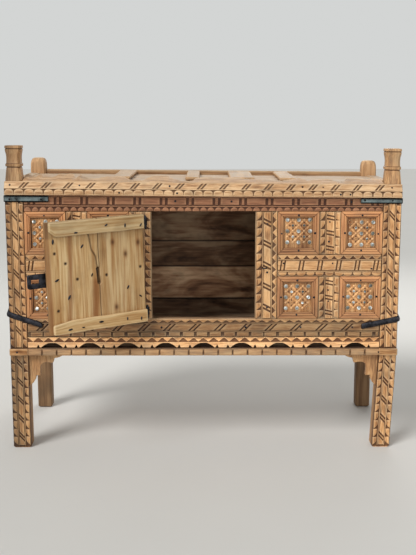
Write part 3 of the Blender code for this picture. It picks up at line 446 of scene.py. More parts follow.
def boardSection(low, high, bevel, margin):         # points round a chamfered rectangle, with an edge mark
    (a0, b0), (a1, b1) = low, high
    margin = min(margin, 0.45 * min(a1 - a0, b1 - b0))
    bevel = min(bevel, 0.45 * margin)
    return [
        (a0 + bevel, b0, 1), (a0 + margin, b0, 0), (a1 - margin, b0, 0), (a1 - bevel, b0, 1),
        (a1, b0 + bevel, 1), (a1, b0 + margin, 0), (a1, b1 - margin, 0), (a1, b1 - bevel, 1),
        (a1 - bevel, b1, 1), (a1 - margin, b1, 0), (a0 + margin, b1, 0), (a0 + bevel, b1, 1),
        (a0, b1 - bevel, 1), (a0, b1 - margin, 0), (a0, b0 + margin, 0), (a0, b0 + bevel, 1),
    ]


def wornBoard(shell, low, high, along, bevel=0.002, margin=0.008, cell=0.045, dip=0.0008, relief=1.0,
        offset=(0, 0, 0)):
    axes = {"x": (0, 1, 2), "y": (1, 2, 0), "z": (2, 0, 1)}[along]
    main, first, second = axes
    length = high[main] - low[main]
    margin = min(margin, 0.3 * length)
    bevel = min(bevel, 0.4 * margin)
    steps = max(1, round((length - 2 * margin) / cell))
    places = [0.0, bevel, margin]
    places += [margin + (length - 2 * margin) * i / steps for i in range(1, steps)]
    places += [length - margin, length - bevel, length]
    middle = ((low[first] + high[first]) / 2, (low[second] + high[second]) / 2)
    loops = []
    for index, place in enumerate(places):
        atEnd = index in (0, len(places) - 1)
        nearEnd = index in (1, len(places) - 2)
        loop = []
        for a, b, edge in boardSection((low[first], low[second]), (high[first], high[second]), bevel, margin):
            if atEnd:
                a += math.copysign(min(bevel, abs(middle[0] - a)), middle[0] - a)
                b += math.copysign(min(bevel, abs(middle[1] - b)), middle[1] - b)
            point = Vector((0, 0, 0))
            point[main], point[first], point[second] = low[main] + place, a, b
            worn = dip * (0.5 + 0.5 * noise.noise(point * 18 + Vector(offset)))
            point[first] += math.copysign(min(worn, abs(middle[0] - a)), middle[0] - a)
            point[second] += math.copysign(min(worn, abs(middle[1] - b)), middle[1] - b)
            loop.append((point, relief, 1.0 if atEnd or nearEnd else float(edge)))
        loops.append(loop)
    addLoops(shell, loops, along, offset)


# Carved units, and the Geometry Nodes trees that repeat them

def insetLoop(points, distance):
    moved = []
    for index, point in enumerate(points):
        before = (point - points[index - 1]).normalized()
        after = (points[(index + 1) % len(points)] - point).normalized()
        inward = Vector((-before.y, before.x)) + Vector((-after.y, after.x))
        moved.append(point + inward * (distance / max(0.4, 1 + before.dot(after))))
    return moved


def reliefUnit(name, outline, height, bevel, crown=0.0, sunk=0.0015, rub=1.0):
    # an outline in (along, across), anticlockwise; the carved face looks towards -Y
    outline = [Vector(point) for point in outline]
    middle = sum(outline, Vector((0, 0))) / len(outline)
    flare = 0.22 * height
    shoulder = insetLoop(outline, flare)
    brow = insetLoop(outline, flare + bevel)
    top = [middle + (point - middle) * 0.72 for point in brow]
    loops = [
        [((u, sunk, w), 0.0, 0.0) for u, w in outline],
        [((u, 0.0, w), 0.15, 0.0) for u, w in outline],
        [((u, bevel - height + crown, w), 0.85, 0.7 * rub) for u, w in shoulder],
        [((u, crown - height, w), 1.0, rub) for u, w in brow],
        [((u, -height, w), 1.0, 0.15) for u, w in top],
    ]
    shell = newShell()
    addLoops(shell, loops, "x")
    unit = bpy.data.objects.new(name, meshOf(name, shell))
    bpy.context.scene.collection.objects.link(unit)
    return unit


def makeTree(name, sockets):
    tree = bpy.data.node_groups.new(name, "GeometryNodeTree")
    tree.interface.new_socket(name="Geometry", in_out="INPUT", socket_type="NodeSocketGeometry")
    for label, kind in sockets:
        tree.interface.new_socket(name=label, in_out="INPUT", socket_type="NodeSocket" + kind)
    tree.interface.new_socket(name="Geometry", in_out="OUTPUT", socket_type="NodeSocketGeometry")
    given = addNode(tree, "NodeGroupInput").outputs
    return tree, given


def randomised(tree, given, seedStep):
    seed = addNode(tree, "ShaderNodeMath", {"operation": "ADD"},
        {0: given["Seed"], 1: float(seedStep)}).outputs[0]
    return addNode(tree, "FunctionNodeRandomValue", {"data_type": "FLOAT"},
        {2: -1.0, 3: 1.0, "Seed": seed}).outputs[1]


def closeTree(tree, instances, given):
    real = addNode(tree, "GeometryNodeRealizeInstances", None, {"Geometry": instances})
    finished = addNode(tree, "GeometryNodeSetMaterial", None,
        {"Geometry": real.outputs[0], "Material": given["Material"]})
    addNode(tree, "NodeGroupOutput", None, {0: finished.outputs[0]})


def carvedRunTree():                # one unit, repeated along a straight line
    tree, given = makeTree("carvedRun", (
        ("Unit", "Object"), ("Count", "Int"), ("Start", "Vector"), ("Step", "Vector"), ("Turn", "Vector"),
        ("Wander", "Float"), ("Sway", "Float"), ("Spread", "Float"), ("Seed", "Int"),
        ("Material", "Material"),
    ))
    line = addNode(tree, "GeometryNodeMeshLine", {"mode": "OFFSET"}, {
        "Count": given["Count"], "Start Location": given["Start"], "Offset": given["Step"],
    })
    unit = addNode(tree, "GeometryNodeObjectInfo", None, {"Object": given["Unit"], "As Instance": True})
    along = addNode(tree, "ShaderNodeVectorMath", {"operation": "NORMALIZE"}, {0: given["Step"]}).outputs[0]
    shift = addNode(tree, "ShaderNodeMath", {"operation": "MULTIPLY"},
        {0: given["Wander"], 1: randomised(tree, given, 1)}).outputs[0]
    offset = addNode(tree, "ShaderNodeVectorMath", {"operation": "SCALE"},
        {0: along, "Scale": shift}).outputs[0]
    moved = addNode(tree, "GeometryNodeSetPosition", None, {"Geometry": line.outputs[0], "Offset": offset})
    sway = addNode(tree, "ShaderNodeMath", {"operation": "MULTIPLY"},
        {0: given["Sway"], 1: randomised(tree, given, 2)}).outputs[0]
    swung = addNode(tree, "ShaderNodeCombineXYZ", None, {"Y": sway}).outputs[0]
    turn = addNode(tree, "ShaderNodeVectorMath", {"operation": "ADD"},
        {0: given["Turn"], 1: swung}).outputs[0]
    grow = addNode(tree, "ShaderNodeMath", {"operation": "MULTIPLY_ADD"},
        {0: given["Spread"], 1: randomised(tree, given, 3), 2: 1.0}).outputs[0]
    size = addNode(tree, "ShaderNodeCombineXYZ", None, {"X": grow, "Y": 1.0, "Z": 1.0}).outputs[0]
    placed = addNode(tree, "GeometryNodeInstanceOnPoints", None, {
        "Points": moved.outputs[0], "Instance": unit.outputs["Geometry"], "Rotation": turn, "Scale": size,
    })
    closeTree(tree, placed.outputs[0], given)
    return tree


def scatteredTree():                # one unit on each point of a mesh, turned by the points' own "turn"
    tree, given = makeTree("scattered", (("Unit", "Object"), ("Spread", "Float"), ("Seed", "Int"),
        ("Material", "Material")))
    unit = addNode(tree, "GeometryNodeObjectInfo", None, {"Object": given["Unit"], "As Instance": True})
    turn = addNode(tree, "GeometryNodeInputNamedAttribute", {"data_type": "FLOAT_VECTOR"},
        {"Name": "turn"}).outputs[0]
    grow = addNode(tree, "ShaderNodeMath", {"operation": "MULTIPLY_ADD"},
        {0: given["Spread"], 1: randomised(tree, given, 1), 2: 1.0}).outputs[0]
    placed = addNode(tree, "GeometryNodeInstanceOnPoints", None, {
        "Points": given["Geometry"], "Instance": unit.outputs["Geometry"], "Rotation": turn, "Scale": grow,
    })
    closeTree(tree, placed.outputs[0], given)
    return tree


carvedRun = carvedRunTree()
scattered = scatteredTree()


# sets the tree's inputs by identifier, and gives the result as a plain mesh
def grown(obj, tree, values):
    modifier = obj.modifiers.new(tree.name, "NODES")
    modifier.node_group = tree
    for item in tree.interface.items_tree:
        if item.in_out == "INPUT" and item.name in values:
            modifier[item.identifier] = values[item.name]
    bpy.context.view_layer.update()
    graph = bpy.context.evaluated_depsgraph_get()
    mesh = bpy.data.meshes.new_from_object(obj.evaluated_get(graph), preserve_all_data_layers=True,
        depsgraph=graph)
    obj.modifiers.remove(modifier)
    bpy.data.objects.remove(obj)
    return mesh


runSeed = {"last": 0}


def runMesh(unit, count, start, step, turn, wander, sway, swell, material):
    runSeed["last"] += 1
    line = bpy.data.objects.new("run", bpy.data.meshes.new("run"))
    bpy.context.scene.collection.objects.link(line)
    return grown(line, carvedRun, {
        "Unit": unit, "Count": count, "Start": start, "Step": step, "Turn": turn, "Wander": wander,
        "Sway": sway, "Spread": swell, "Seed": runSeed["last"], "Material": material,
    })


def scatterMesh(unit, points, turns, swell, material):
    runSeed["last"] += 1
    cloud = bpy.data.meshes.new("points")
    cloud.from_pydata([tuple(point) for point in points], [], [])
    layer = cloud.attributes.new("turn", "FLOAT_VECTOR", "POINT")
    layer.data.foreach_set("vector", [value for turn in turns for value in turn])
    holder = bpy.data.objects.new("points", cloud)
    bpy.context.scene.collection.objects.link(holder)
    return grown(holder, scattered, {"Unit": unit, "Spread": swell, "Seed": runSeed["last"],
        "Material": material})


def dropUnit(unit):
    bpy.data.objects.remove(unit)


# Rows of carving on a board: a board lies along X or Z, and its rows lie across it

def turnOf(along, flat):            # a unit's turn, for its flat side at the low or high edge of the row
    return {("x", "low"): 0.0, ("x", "high"): math.pi, ("z", "low"): math.pi / 2,
        ("z", "high"): -math.pi / 2}[along, flat]


def addRun(shell, board, outline, row, centre, pitch, count, flat="low", height=None, bevel=0.0009, crown=0.0,
        steady=False):
    # outline in board terms, along and across, with its flat side at 0 across
    if count < 1:
        return
    along = board["along"]
    height = board["ground"] if height is None else height
    points = [Vector(point) for point in outline]
    if along == "z":
        points = [Vector((-p.x, p.y)) for p in reversed(points)]
    if flat == "high":
        points = [Vector((-p.x, p.y)) for p in reversed(points)]
    unit = reliefUnit("unit", points, height, bevel, crown)
    edge = row[0] if flat == "low" else row[1]
    ground = board["front"] + board["ground"]
    if along == "x":
        start, step = (centre, ground, edge), (pitch, 0, 0)
    else:
        slope = board.get("slope", 0.0)
        start = (edge + slope * (centre - board.get("slopeFrom", 0.0)), ground, centre)
        step = (slope * pitch, 0, pitch)
    turn = (0, turnOf(along, flat), 0)
    careless = (0.0, 0.0, 0.0) if steady else (0.0012, 0.035, 0.07)
    mesh = runMesh(unit, count, start, step, turn, *careless, board["material"])
    addMesh(shell, mesh, along, board["offset"])
    bpy.data.meshes.remove(mesh)
    dropUnit(unit)


def fitted(board, pitch):           # the first centre, the pitch and the count that fill a board
    low, high = board["span"]
    count = max(1, round((high - low) / pitch))
    pitch = (high - low) / count
    return low + pitch / 2, pitch, count


def tongueRow(shell, board, row, pitch, flat="low", join=None, arcSteps=7, straight=0.22, roundness=1.0):
    centre, pitch, count = fitted(board, pitch)
    half, depth = pitch / 2 + (chest["join"] if join is None else join), row[1] - row[0]
    foot = straight * depth
    outline = [(-half, 0), (half, 0), (half, foot)]
    for i in range(1, arcSteps):
        angle = math.pi * i / arcSteps
        across = math.copysign(abs(math.cos(angle)) ** roundness, math.cos(angle))
        outline.append((half * across, foot + (depth - foot) * math.sin(angle) ** roundness))
    outline.append((-half, foot))
    addRun(shell, board, outline, row, centre, pitch, count, flat, crown=0.0007)


def scaleRow(shell, board, row, pitch, flat="low", bite=0.54):
    # lobes that lie one over the next, each with a slanting chip cut from its lower side
    centre, pitch, count = fitted(board, pitch)
    half, depth = pitch / 2, row[1] - row[0]
    outline = [(-half - chest["join"], 0), (half, 0), (half, depth)]
    for along, across in ((1.0, 1.0), (0.68, 0.84), (0.36, 0.56), (0.10, 0.24)):
        outline.append((-half + along * bite * pitch, across * depth))
    addRun(shell, board, outline, row, centre, pitch, count, flat, crown=0.0007)


def toothRow(shell, board, row, pitch, flat="low", blunt=0.12, shoulder=0.16):
    centre, pitch, count = fitted(board, pitch)
    half, depth = pitch / 2 + chest["join"], row[1] - row[0]
    foot = shoulder * depth
    outline = [(-half, 0), (half, 0), (half, foot), (blunt * half, depth), (-blunt * half, depth),
        (-half, foot)]
    addRun(shell, board, outline, row, centre, pitch, count, flat, bevel=0.0008, crown=0.0004)


def blockRow(shell, board, row, pitch, gap, first):
    # blocks from a first place on, with what is left over at either end filled by a shorter block
    low, high = board["span"]
    depth = row[1] - row[0]
    count = int((high - first) / pitch)
    last = first + count * pitch
    for start, end, repeats in ((low, first, 1), (first, first + pitch, count), (last, high, 1)):
        half = (end - start - gap) / 2
        if half > gap / 2:
            outline = [(-half, 0), (half, 0), (half, depth), (-half, depth)]
            addRun(shell, board, outline, row, (start + end) / 2, pitch, repeats)


def slashRow(shell, board, row, pitch, cut, bar, lean, first=None):
    # plain blocks with pairs of leaning cuts between them, and a bar between the two cuts
    low, high = board["span"]
    depth = row[1] - row[0]
    shift = lean * depth
    reach = (2 * cut + bar) / 2
    if first is None:
        count = max(1, round((high - low) / pitch))
        first = (low + high) / 2 - pitch * (count - 1) / 2
    count = int((high - abs(shift) / 2 - reach - 0.003 - first) / pitch) + 1
    tips = [(-1, 0), (1, 0), (1, depth), (-1, depth)]

    def leaning(half):
        return [(half * side + (w / depth - 0.5) * shift, w) for side, w in tips]

    addRun(shell, board, leaning(bar / 2), row, first, pitch, count, steady=True)
    addRun(shell, board, leaning((pitch - 2 * reach) / 2), row, first + pitch / 2, pitch, count - 1,
        steady=True)
    startCut, endCut = first - reach, first + pitch * (count - 1) + reach
    for inner, outer in ((startCut, low), (endCut, high)):
        centre = (inner + outer) / 2
        half = abs(inner - outer) / 2
        side = 1 if inner > outer else -1
        if half < 0.003:
            continue
        near = [(side * half - 0.5 * shift, 0), (side * half + 0.5 * shift, depth)]
        far = [(-side * half, depth), (-side * half, 0)]
        outline = near + far if side > 0 else list(reversed(near + far))
        addRun(shell, board, outline, row, centre, pitch, 1, steady=True)


def filletRow(shell, board, row, height=None):
    height = board["ground"] if height is None else height
    low, high = board["span"]
    ground = board["front"] + board["ground"]
    slope = board.get("slope", 0.0)
    steps = max(2, round((high - low) / 0.03))
    bevel = min(0.0008, 0.3 * (row[1] - row[0]))
    section = [
        (row[0], 0.0015, 0.0, 0.0), (row[1], 0.0015, 0.0, 0.0), (row[1], bevel - height, 0.9, 0.6),
        (row[1] - bevel, -height, 1.0, 1.0), (row[0] + bevel, -height, 1.0, 1.0),
        (row[0], bevel - height, 0.9, 0.6),
    ]
    loops = []
    for i in range(steps + 1):
        place = low + (high - low) * i / steps
        sideways = slope * (place - board.get("slopeFrom", 0.0))
        loop = []
        for across, y, relief, edge in section:
            point = (place, ground + y, across) if board["along"] == "x" else (across + sideways, ground + y,
                place)
            loop.append((point, relief, edge))
        loops.append(loop if board["along"] == "x" else list(reversed(loop)))
    addLoops(shell, list(reversed(loops)), board["along"], board["offset"])


def boardFor(name, along, low, high, front=None, ground=None, span=None):
    return {
        "name": name, "along": along, "low": low, "high": high,
        "front": low.y if front is None else front,
        "ground": chest["ground"] if ground is None else ground,
        "span": span or ((low.x + 0.001, high.x - 0.001) if along == "x" else (low.z + 0.001,
                                                                               high.z - 0.001)),
        "material": carvedTeak, "offset": grainOffset(name),
    }


def withWood(board, material):
    board["material"] = material
    return board


def groundSlab(shell, board, relief=0.12, bevel=0.0012):
    low, high = board["low"].copy(), board["high"].copy()
    low.y = board["front"] + board["ground"]
    wornBoard(shell, low, high, board["along"], bevel, relief=relief, offset=board["offset"], cell=0.03)


def finishBoard(shell, board, nodes, tone=None, uneven=0.0005):
    wobble(shell, uneven, 0.022, board["front"])
    finishShell("carved_" + board["name"], shell, board["material"], nodes, tone=tone)


# Frieze: rectangles with a bar between, a bead line, and a row of arches

frieze = {
    "arches": (0.7475, 0.7604), "archPitch": 0.0232, "archGap": -0.0011, "line": (0.7615, 0.7642),
    "panels": (0.7668, 0.7890), "panelPitch": 0.080, "barWidth": 0.0095, "panelCut": 0.0065,
    "cap": (0.7902, 0.7938), "tone": 0.68,
}
low, high = nodeBox("frieze_rail")
low = Vector((-chest["postInside"] + fit, low.y, friezeLow))
high = Vector((chest["postInside"] - fit, high.y, friezeTop - fit))
board = withWood(boardFor("frieze_rail", "x", low, high), redShadedTeak)
shell = newShell()
groundSlab(shell, board)
tongueRow(shell, board, frieze["arches"], frieze["archPitch"], join=frieze["archGap"])
filletRow(shell, board, frieze["line"])
slashRow(shell, board, frieze["panels"], frieze["panelPitch"], frieze["panelCut"], frieze["barWidth"], 0.0)
filletRow(shell, board, frieze["cap"], 0.0022)
finishBoard(shell, board, ["frieze_rail"], frieze["tone"])

# Sill: hanging teeth, leaning double cuts, and dentils
sill = {
    "teeth": (0.4025, 0.4128), "toothPitch": 0.0278, "lineUnderTeeth": (0.4000, 0.4018),
    "cuts": (0.3765, 0.3990), "firstCut": -0.498, "cutPitch": 0.0785, "cut": 0.0050, "bar": 0.0088,
    "lean": 1.0,
    "lineUnderCuts": (0.3738, 0.3757), "dentils": (0.3585, 0.3730),
    "firstDentil": -0.539, "dentilPitch": 0.0427, "dentilGap": 0.0060,
    # brightness over the floor: dark up to the teeth, a little paler on the teeth, and much paler on the top
    "tone": ((0.358, -0.76), (0.400, -0.76), (0.403, -0.16), (0.4115, -0.10), (0.4128, 1.7)),
}
low, high = nodeBox("sill_rail")
low.x, high.x = -chest["postInside"] + fit, chest["postInside"] - fit
board = boardFor("sill_rail", "x", low, high)
shell = newShell()
groundSlab(shell, board)
toothRow(shell, board, sill["teeth"], sill["toothPitch"], "high")
filletRow(shell, board, sill["lineUnderTeeth"])
slashRow(shell, board, sill["cuts"], sill["cutPitch"], sill["cut"], sill["bar"], sill["lean"],
    sill["firstCut"])
filletRow(shell, board, sill["lineUnderCuts"])
blockRow(shell, board, sill["dentils"], sill["dentilPitch"], sill["dentilGap"], sill["firstDentil"])
finishBoard(shell, board, ["sill_rail"], rising(sill["tone"]))
print("frieze and sill carved")

# Mid rails: hanging teeth, a band of double cuts, and scallops
midRail = {
    "teeth": (0.6005, 0.6140), "toothPitch": 0.028, "lineUnderTeeth": (0.5978, 0.5996),
    "cuts": (0.5655, 0.5965), "cutPitch": 0.057, "cut": 0.0034, "bar": 0.0078, "lean": 0.15,
    "lineUnderCuts": (0.5620, 0.5640), "scallops": (0.5478, 0.5606), "scallopPitch": 0.028, "tone": 0.35,
}
for side in ("left", "right"):
    name = f"mid_rail_{side}"
    low, high = nodeBox(name)
    board = boardFor(name, "x", low, high)
    shell = newShell()
    groundSlab(shell, board)
    toothRow(shell, board, midRail["teeth"], midRail["toothPitch"], "high", blunt=0.3)
    filletRow(shell, board, midRail["lineUnderTeeth"])
    slashRow(shell, board, midRail["cuts"], midRail["cutPitch"], midRail["cut"], midRail["bar"],
        midRail["lean"])
    filletRow(shell, board, midRail["lineUnderCuts"])
    tongueRow(shell, board, midRail["scallops"], midRail["scallopPitch"], "high", join=-0.0003)
    finishBoard(shell, board, [name], midRail["tone"])

# Muntins: scallops, a strip of nearly level double cuts, and dentils, measured from the left edge
muntin = {
    "scallops": (0.0025, 0.0180), "scallopPitch": 0.0236, "firstLine": (0.0190, 0.0208),
    "cuts": (0.0218, 0.0455), "cutPitch": 0.047, "cut": 0.0036, "bar": 0.0068, "lean": -0.20,
    "secondLine": (0.0465, 0.0483), "dentils": (0.0495, 0.0640), "dentilPitch": 0.0255,
    # brightness at the left edge, and its rise by the metre: darker on the scallops' side
    "tone": ((-0.28, 28.0), (0.20, 14.0)),
}
for side in ("left", "right"):
    for level in ("upper", "lower"):
        name = f"muntin_{side}_{level}"
        low, high = nodeBox(name)
        board = boardFor(name, "z", low, high)
        shell = newShell()
        groundSlab(shell, board)
        rows = {key: (low.x + muntin[key][0], low.x + muntin[key][1]) for key in ("scallops", "firstLine",
            "cuts", "secondLine", "dentils")}
        scaleRow(shell, board, rows["scallops"], muntin["scallopPitch"], "low", 0.72)
        filletRow(shell, board, rows["firstLine"])
        slashRow(shell, board, rows["cuts"], muntin["cutPitch"], muntin["cut"], muntin["bar"], muntin["lean"])
        filletRow(shell, board, rows["secondLine"])
        scaleRow(shell, board, rows["dentils"], muntin["dentilPitch"], "high", 0.18)
        finishBoard(shell, board, [name], lambda point: min(
            base + rise * (point.x - low.x) for base, rise in muntin["tone"]))


def mirroredRow(row, side):         # a row given from the middle of the front, on either side
    return row if side == "right" else (-row[1], -row[0])


# Door stiles: scallops by the opening, a strip of leaning double cuts, and triangles
stile = {
    "scallops": (0.1605, 0.1785), "scallopPitch": 0.0255, "bite": 0.68, "firstLine": (0.1797, 0.1818),
    "cuts": (0.1830, 0.2065), "cutPitch": 0.066, "cut": 0.0050, "bar": 0.0066, "lean": -0.52,
    "secondLine": (0.2076, 0.2096), "teeth": (0.2106, 0.2252), "toothPitch": 0.0255, "tone": 0.33,
}
for side in ("left", "right"):
    name = f"door_stile_{side}"
    low, high = nodeBox(name)
    low.z, high.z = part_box(f"panel_frame_{side}_lower_inner")[0].z, friezeLow - fit
    board = boardFor(name, "z", low, high)
    shell = newShell()
    groundSlab(shell, board)
    nearFlat, farFlat = ("low", "high") if side == "right" else ("high", "low")
    scaleRow(shell, board, mirroredRow(stile["scallops"], side), stile["scallopPitch"], nearFlat,
        stile["bite"])
    filletRow(shell, board, mirroredRow(stile["firstLine"], side))
    slashRow(shell, board, mirroredRow(stile["cuts"], side), stile["cutPitch"], stile["cut"], stile["bar"],
        stile["lean"])
    filletRow(shell, board, mirroredRow(stile["secondLine"], side))
    toothRow(shell, board, mirroredRow(stile["teeth"], side), stile["toothPitch"], farFlat)
    finishBoard(shell, board, [name], stile["tone"])
print("rails, muntins and stiles carved")

# Front posts: three carved columns up the face, and a turned-looking square finial
post = {
    "section": 0.055, "chamfer": 0.0025, "finialChamfer": 0.007, "foot": 0.004,
    "outer": (0.5848, 0.5990), "outerPitch": 0.0262, "outerLine": (0.5816, 0.5838),
    "cuts": (0.5640, 0.5806), "cutPitch": 0.0594, "cut": 0.0048, "bar": 0.0058, "lean": -1.08,
    "firstCuts": (0.036, 0.3780),
    "innerLine": (0.5608, 0.5630), "inner": (0.5462, 0.5598), "innerPitch": 0.0256,
    # brightness over the floor: foot, base rail, under the lip, finial
    "tone": {"left": ((0.0, -0.52), (0.30, -0.42), (0.34, 0.0), (0.80, 0.06), (0.86, -0.70)),
             "right": ((0.0, 0.75), (0.30, 0.68), (0.34, 0.60), (0.80, 0.60), (0.86, 0.12))},
    "fade": {"left": 24.0, "right": 10.5},          # brighter towards the right, by the metre
    "finialFoot": 0.820, "finialGrooves": (0.8755, 0.8772, 0.8866, 0.9302, 0.9316),
    # height over the floor and half width of the finial
    "finial": ((0.826, 0.0264), (0.832, 0.0256), (0.850, 0.0238), (0.8735, 0.0216), (0.8755, 0.0206),
               (0.8772, 0.0206),
               (0.8782, 0.0236), (0.8850, 0.0238), (0.8866, 0.0222), (0.8885, 0.0212), (0.904, 0.0208),
               (0.914, 0.0214),
               (0.9225, 0.0232), (0.9290, 0.0240), (0.9302, 0.0226), (0.9316, 0.0226), (0.9326, 0.0246),
               (0.9380, 0.0246), (0.9400, 0.0238)),
}


def squareLoop(centreX, centreY, half, chamfer, z, frontCut=0.0, edge=0.0):
    reach, cut = half, half - chamfer
    spots = [(-cut, -reach), (cut, -reach), (reach, -cut), (reach, cut), (cut, reach), (-cut, reach),
        (-reach, cut), (-reach, -cut)]
    loop = []
    for x, y in spots:
        atFront = y < -half + frontCut
        y = max(y, -half + frontCut)
        loop.append(((centreX + x, centreY + y, z), 0.1 if atFront else 1.0, 0.0 if atFront else edge))
    return loop


def legShift(side, z):              # the right leg has crept in below the base rail
    if side == "left" or z > chest["legClear"]:
        return 0.0
    return -chest["legLean"] * (chest["legClear"] - z) / (chest["legClear"] - post["foot"])


for side in ("left", "right"):
    name = f"post_front_{side}"
    sign = 1 if side == "right" else -1
    half = post["section"] / 2
    centreX, centreY = sign * (chest["half"] - half), half
    offset = grainOffset(name)
    shell = newShell()
    ground = chest["ground"]
    loops = [squareLoop(centreX + legShift(side, post["foot"]), centreY, half - post["foot"], post["chamfer"],
        0.0)]
    heights = [post["foot"], 0.06, 0.12, 0.18, 0.24, chest["legClear"], 0.36, 0.44, 0.52, 0.60, 0.68, 0.74,
        post["finialFoot"]]
    for z in heights:
        loops.append(squareLoop(centreX + legShift(side, z), centreY, half, post["chamfer"], z, ground, 0.35))
    for z, reach in post["finial"]:
        loop = squareLoop(centreX, centreY, reach, post["finialChamfer"], z, 0.0, 0.5)
        grooved = z in post["finialGrooves"]
        loops.append([(point, 0.2, 0.0) for point, relief, edge in loop] if grooved else loop)
    addLoops(shell, loops, "z", offset)
    slope = chest["legLean"] / (chest["legClear"] - post["foot"]) if side == "right" else 0.0
    nearFlat = "low" if side == "right" else "high"
    low, high = Vector((0, 0, 0)), Vector((0, 0, 0))
    spans = ((0.008, chest["legClear"] - 0.001), (0.3245, 0.7935))
    for span, tilt, firstCut in zip(spans, (slope, 0.0), post["firstCuts"]):
        board = boardFor(name, "z", low, high, front=0.0, span=span)
        board.update({"slope": tilt, "slopeFrom": chest["legClear"]})
        scaleRow(shell, board, mirroredRow(post["outer"], side), post["outerPitch"], "high")
        filletRow(shell, board, mirroredRow(post["outerLine"], side))
        slashRow(shell, board, mirroredRow(post["cuts"], side), post["cutPitch"], post["cut"], post["bar"],
            post["lean"], firstCut)
        filletRow(shell, board, mirroredRow(post["innerLine"], side))
        scaleRow(shell, board, mirroredRow(post["inner"], side), post["innerPitch"], nearFlat)
    wobble(shell, 0.0006, 0.025, 0.0)
    height, fade = rising(post["tone"][side]), post["fade"][side]
    finishShell("carved_" + name, shell, carvedTeak, [name],
        tone=lambda point: height(point) + fade * (point.x - centreX))
print("front posts carved")

# Valance: hanging triangles, a line, and arches with a notched tongue between them
valance = {
    "triangles": (0.3420, 0.3564), "trianglePitch": 0.032, "line": (0.3386, 0.3408), "face": 0.0028,
    "arches": 9, "end": 0.0399, "archHalf": 0.0340, "archRise": 0.0160, "archSteps": 7, "archCurve": 2.0,
    "lobe": 0.0034, "notch": 0.0096, "notchRise": 0.0104, "tone": 1.60,
}
low, high = nodeBox("valance")
board = boardFor("valance", "x", low, high)
lastArch = high.x - valance["end"] - valance["archHalf"]
edgeLine = [(low.x, low.z)]
for arch in range(valance["arches"]):
    middle = lastArch * (2 * arch / (valance["arches"] - 1) - 1)
    reach = valance["archHalf"] + valance["lobe"]
    rim = [(-reach - valance["notch"], 0.0), (-reach - valance["notch"] / 2, valance["notchRise"]),
        (-reach, 0.0005)]
    for i in range(2 * valance["archSteps"] + 1):
        along = i / valance["archSteps"] - 1
        rise = valance["archRise"] * (1 - abs(along) ** valance["archCurve"])
        rim.append((valance["archHalf"] * along, rise))
    rim += [(reach, 0.0005), (reach + valance["notch"] / 2, valance["notchRise"]),
        (reach + valance["notch"], 0.0)]
    edgeLine += [(middle + x, low.z + z) for x, z in rim]
edgeLine.append((high.x, low.z))
shell = newShell()
ground = board["front"] + board["ground"]
loops = []
for x, z in edgeLine:
    loops.append([
        ((x, high.y, high.z), 1.0, 0.0), ((x, high.y, z), 0.6, 0.0),
        ((x, valance["face"] + 0.001, z), 0.7, 0.6),
        ((x, valance["face"], z + 0.001), 1.0, 1.0), ((x, valance["face"], valance["line"][1]), 1.0, 0.3),
        ((x, ground, valance["line"][1] + 0.0004), 0.1, 0.0), ((x, ground, high.z), 0.1, 0.0),
    ])
addLoops(shell, loops, "x", board["offset"])
toothRow(shell, board, valance["triangles"], valance["trianglePitch"], "high", 0.04, 0.03)
filletRow(shell, board, valance["line"])
wobble(shell, 0.0004, 0.02, board["front"])
finishShell("carved_valance", shell, carvedTeak, ["valance"], tone=valance["tone"])

# Base rail: a run of long rolled beads, with a plain block over each post
baseRail = {
    "beadPitch": 0.046, "beadGap": 0.0024, "core": -0.0085, "taper": 0.0026, "tone": -0.22, "ground": 0.12,
    # the bead's section from under to over: back from the posts' faces, and height
    "bead": ((-0.0080, 0.3013), (-0.0104, 0.3017), (-0.0116, 0.3040), (-0.0119, 0.3085), (-0.0117, 0.3130),
             (-0.0110, 0.3170), (-0.0098, 0.3206), (-0.0080, 0.3227)),
}


def beadUnit(length):
    loops = []
    for place, worn in ((-0.5, 1), (-0.5, 0), (0.5, 0), (0.5, 1)):
        u = place * length + (0.0 if worn else math.copysign(baseRail["taper"], -place))
        loop = []
        for y, z in baseRail["bead"]:
            raised = max(0.0, baseRail["core"] - y)
            y = y + raised * 0.75 if worn else y
            loop.append(((u, y, z), 0.25 if worn else min(1.0, 0.25 + raised / 0.003),
                0.0 if worn else min(1.0, raised / 0.004)))
        loops.append(loop)
    beads = newShell()
    addLoops(beads, loops, "x")
    unit = bpy.data.objects.new("bead", meshOf("bead", beads))
    bpy.context.scene.collection.objects.link(unit)
    return unit


low, high = nodeBox("base_rail_front")
shell = newShell()
offset = grainOffset("base_rail_front")
inside = chest["postInside"] - fit
wornBoard(shell, Vector((-inside, baseRail["core"], low.z)), Vector((inside, high.y, high.z)), "x", 0.0012,
    relief=baseRail["ground"], offset=offset)
for side in (-1, 1):
    ends = sorted((side * (inside - 0.002), side * chest["half"]))
    wornBoard(shell, Vector((ends[0], low.y, low.z)), Vector((ends[1], -fit, high.z)), "x", 0.0016, 0.004,
        offset=offset)
count = round(2 * inside / baseRail["beadPitch"])
pitch = 2 * inside / count
unit = beadUnit(pitch - baseRail["beadGap"])
mesh = runMesh(unit, count, (-inside + pitch / 2, 0, 0), (pitch, 0, 0), (0, 0, 0), 0.0006, 0.0, 0.02,
    carvedTeak)
addMesh(shell, mesh, "x", offset)
dropUnit(unit)
for index, point in enumerate(shell["points"]):         # its top is painted black behind the arches, as shade
    if point.z > high.z - 0.002 and point.y > baseRail["core"] + 0.002:
        shell["relief"][index], shell["edge"][index] = 0.0, 0.0
wobble(shell, 0.0004, 0.03, low.y)
finishShell("beaded_base_rail", shell, carvedTeak, ["base_rail_front"], tone=baseRail["tone"])
print("valance and base rail carved")

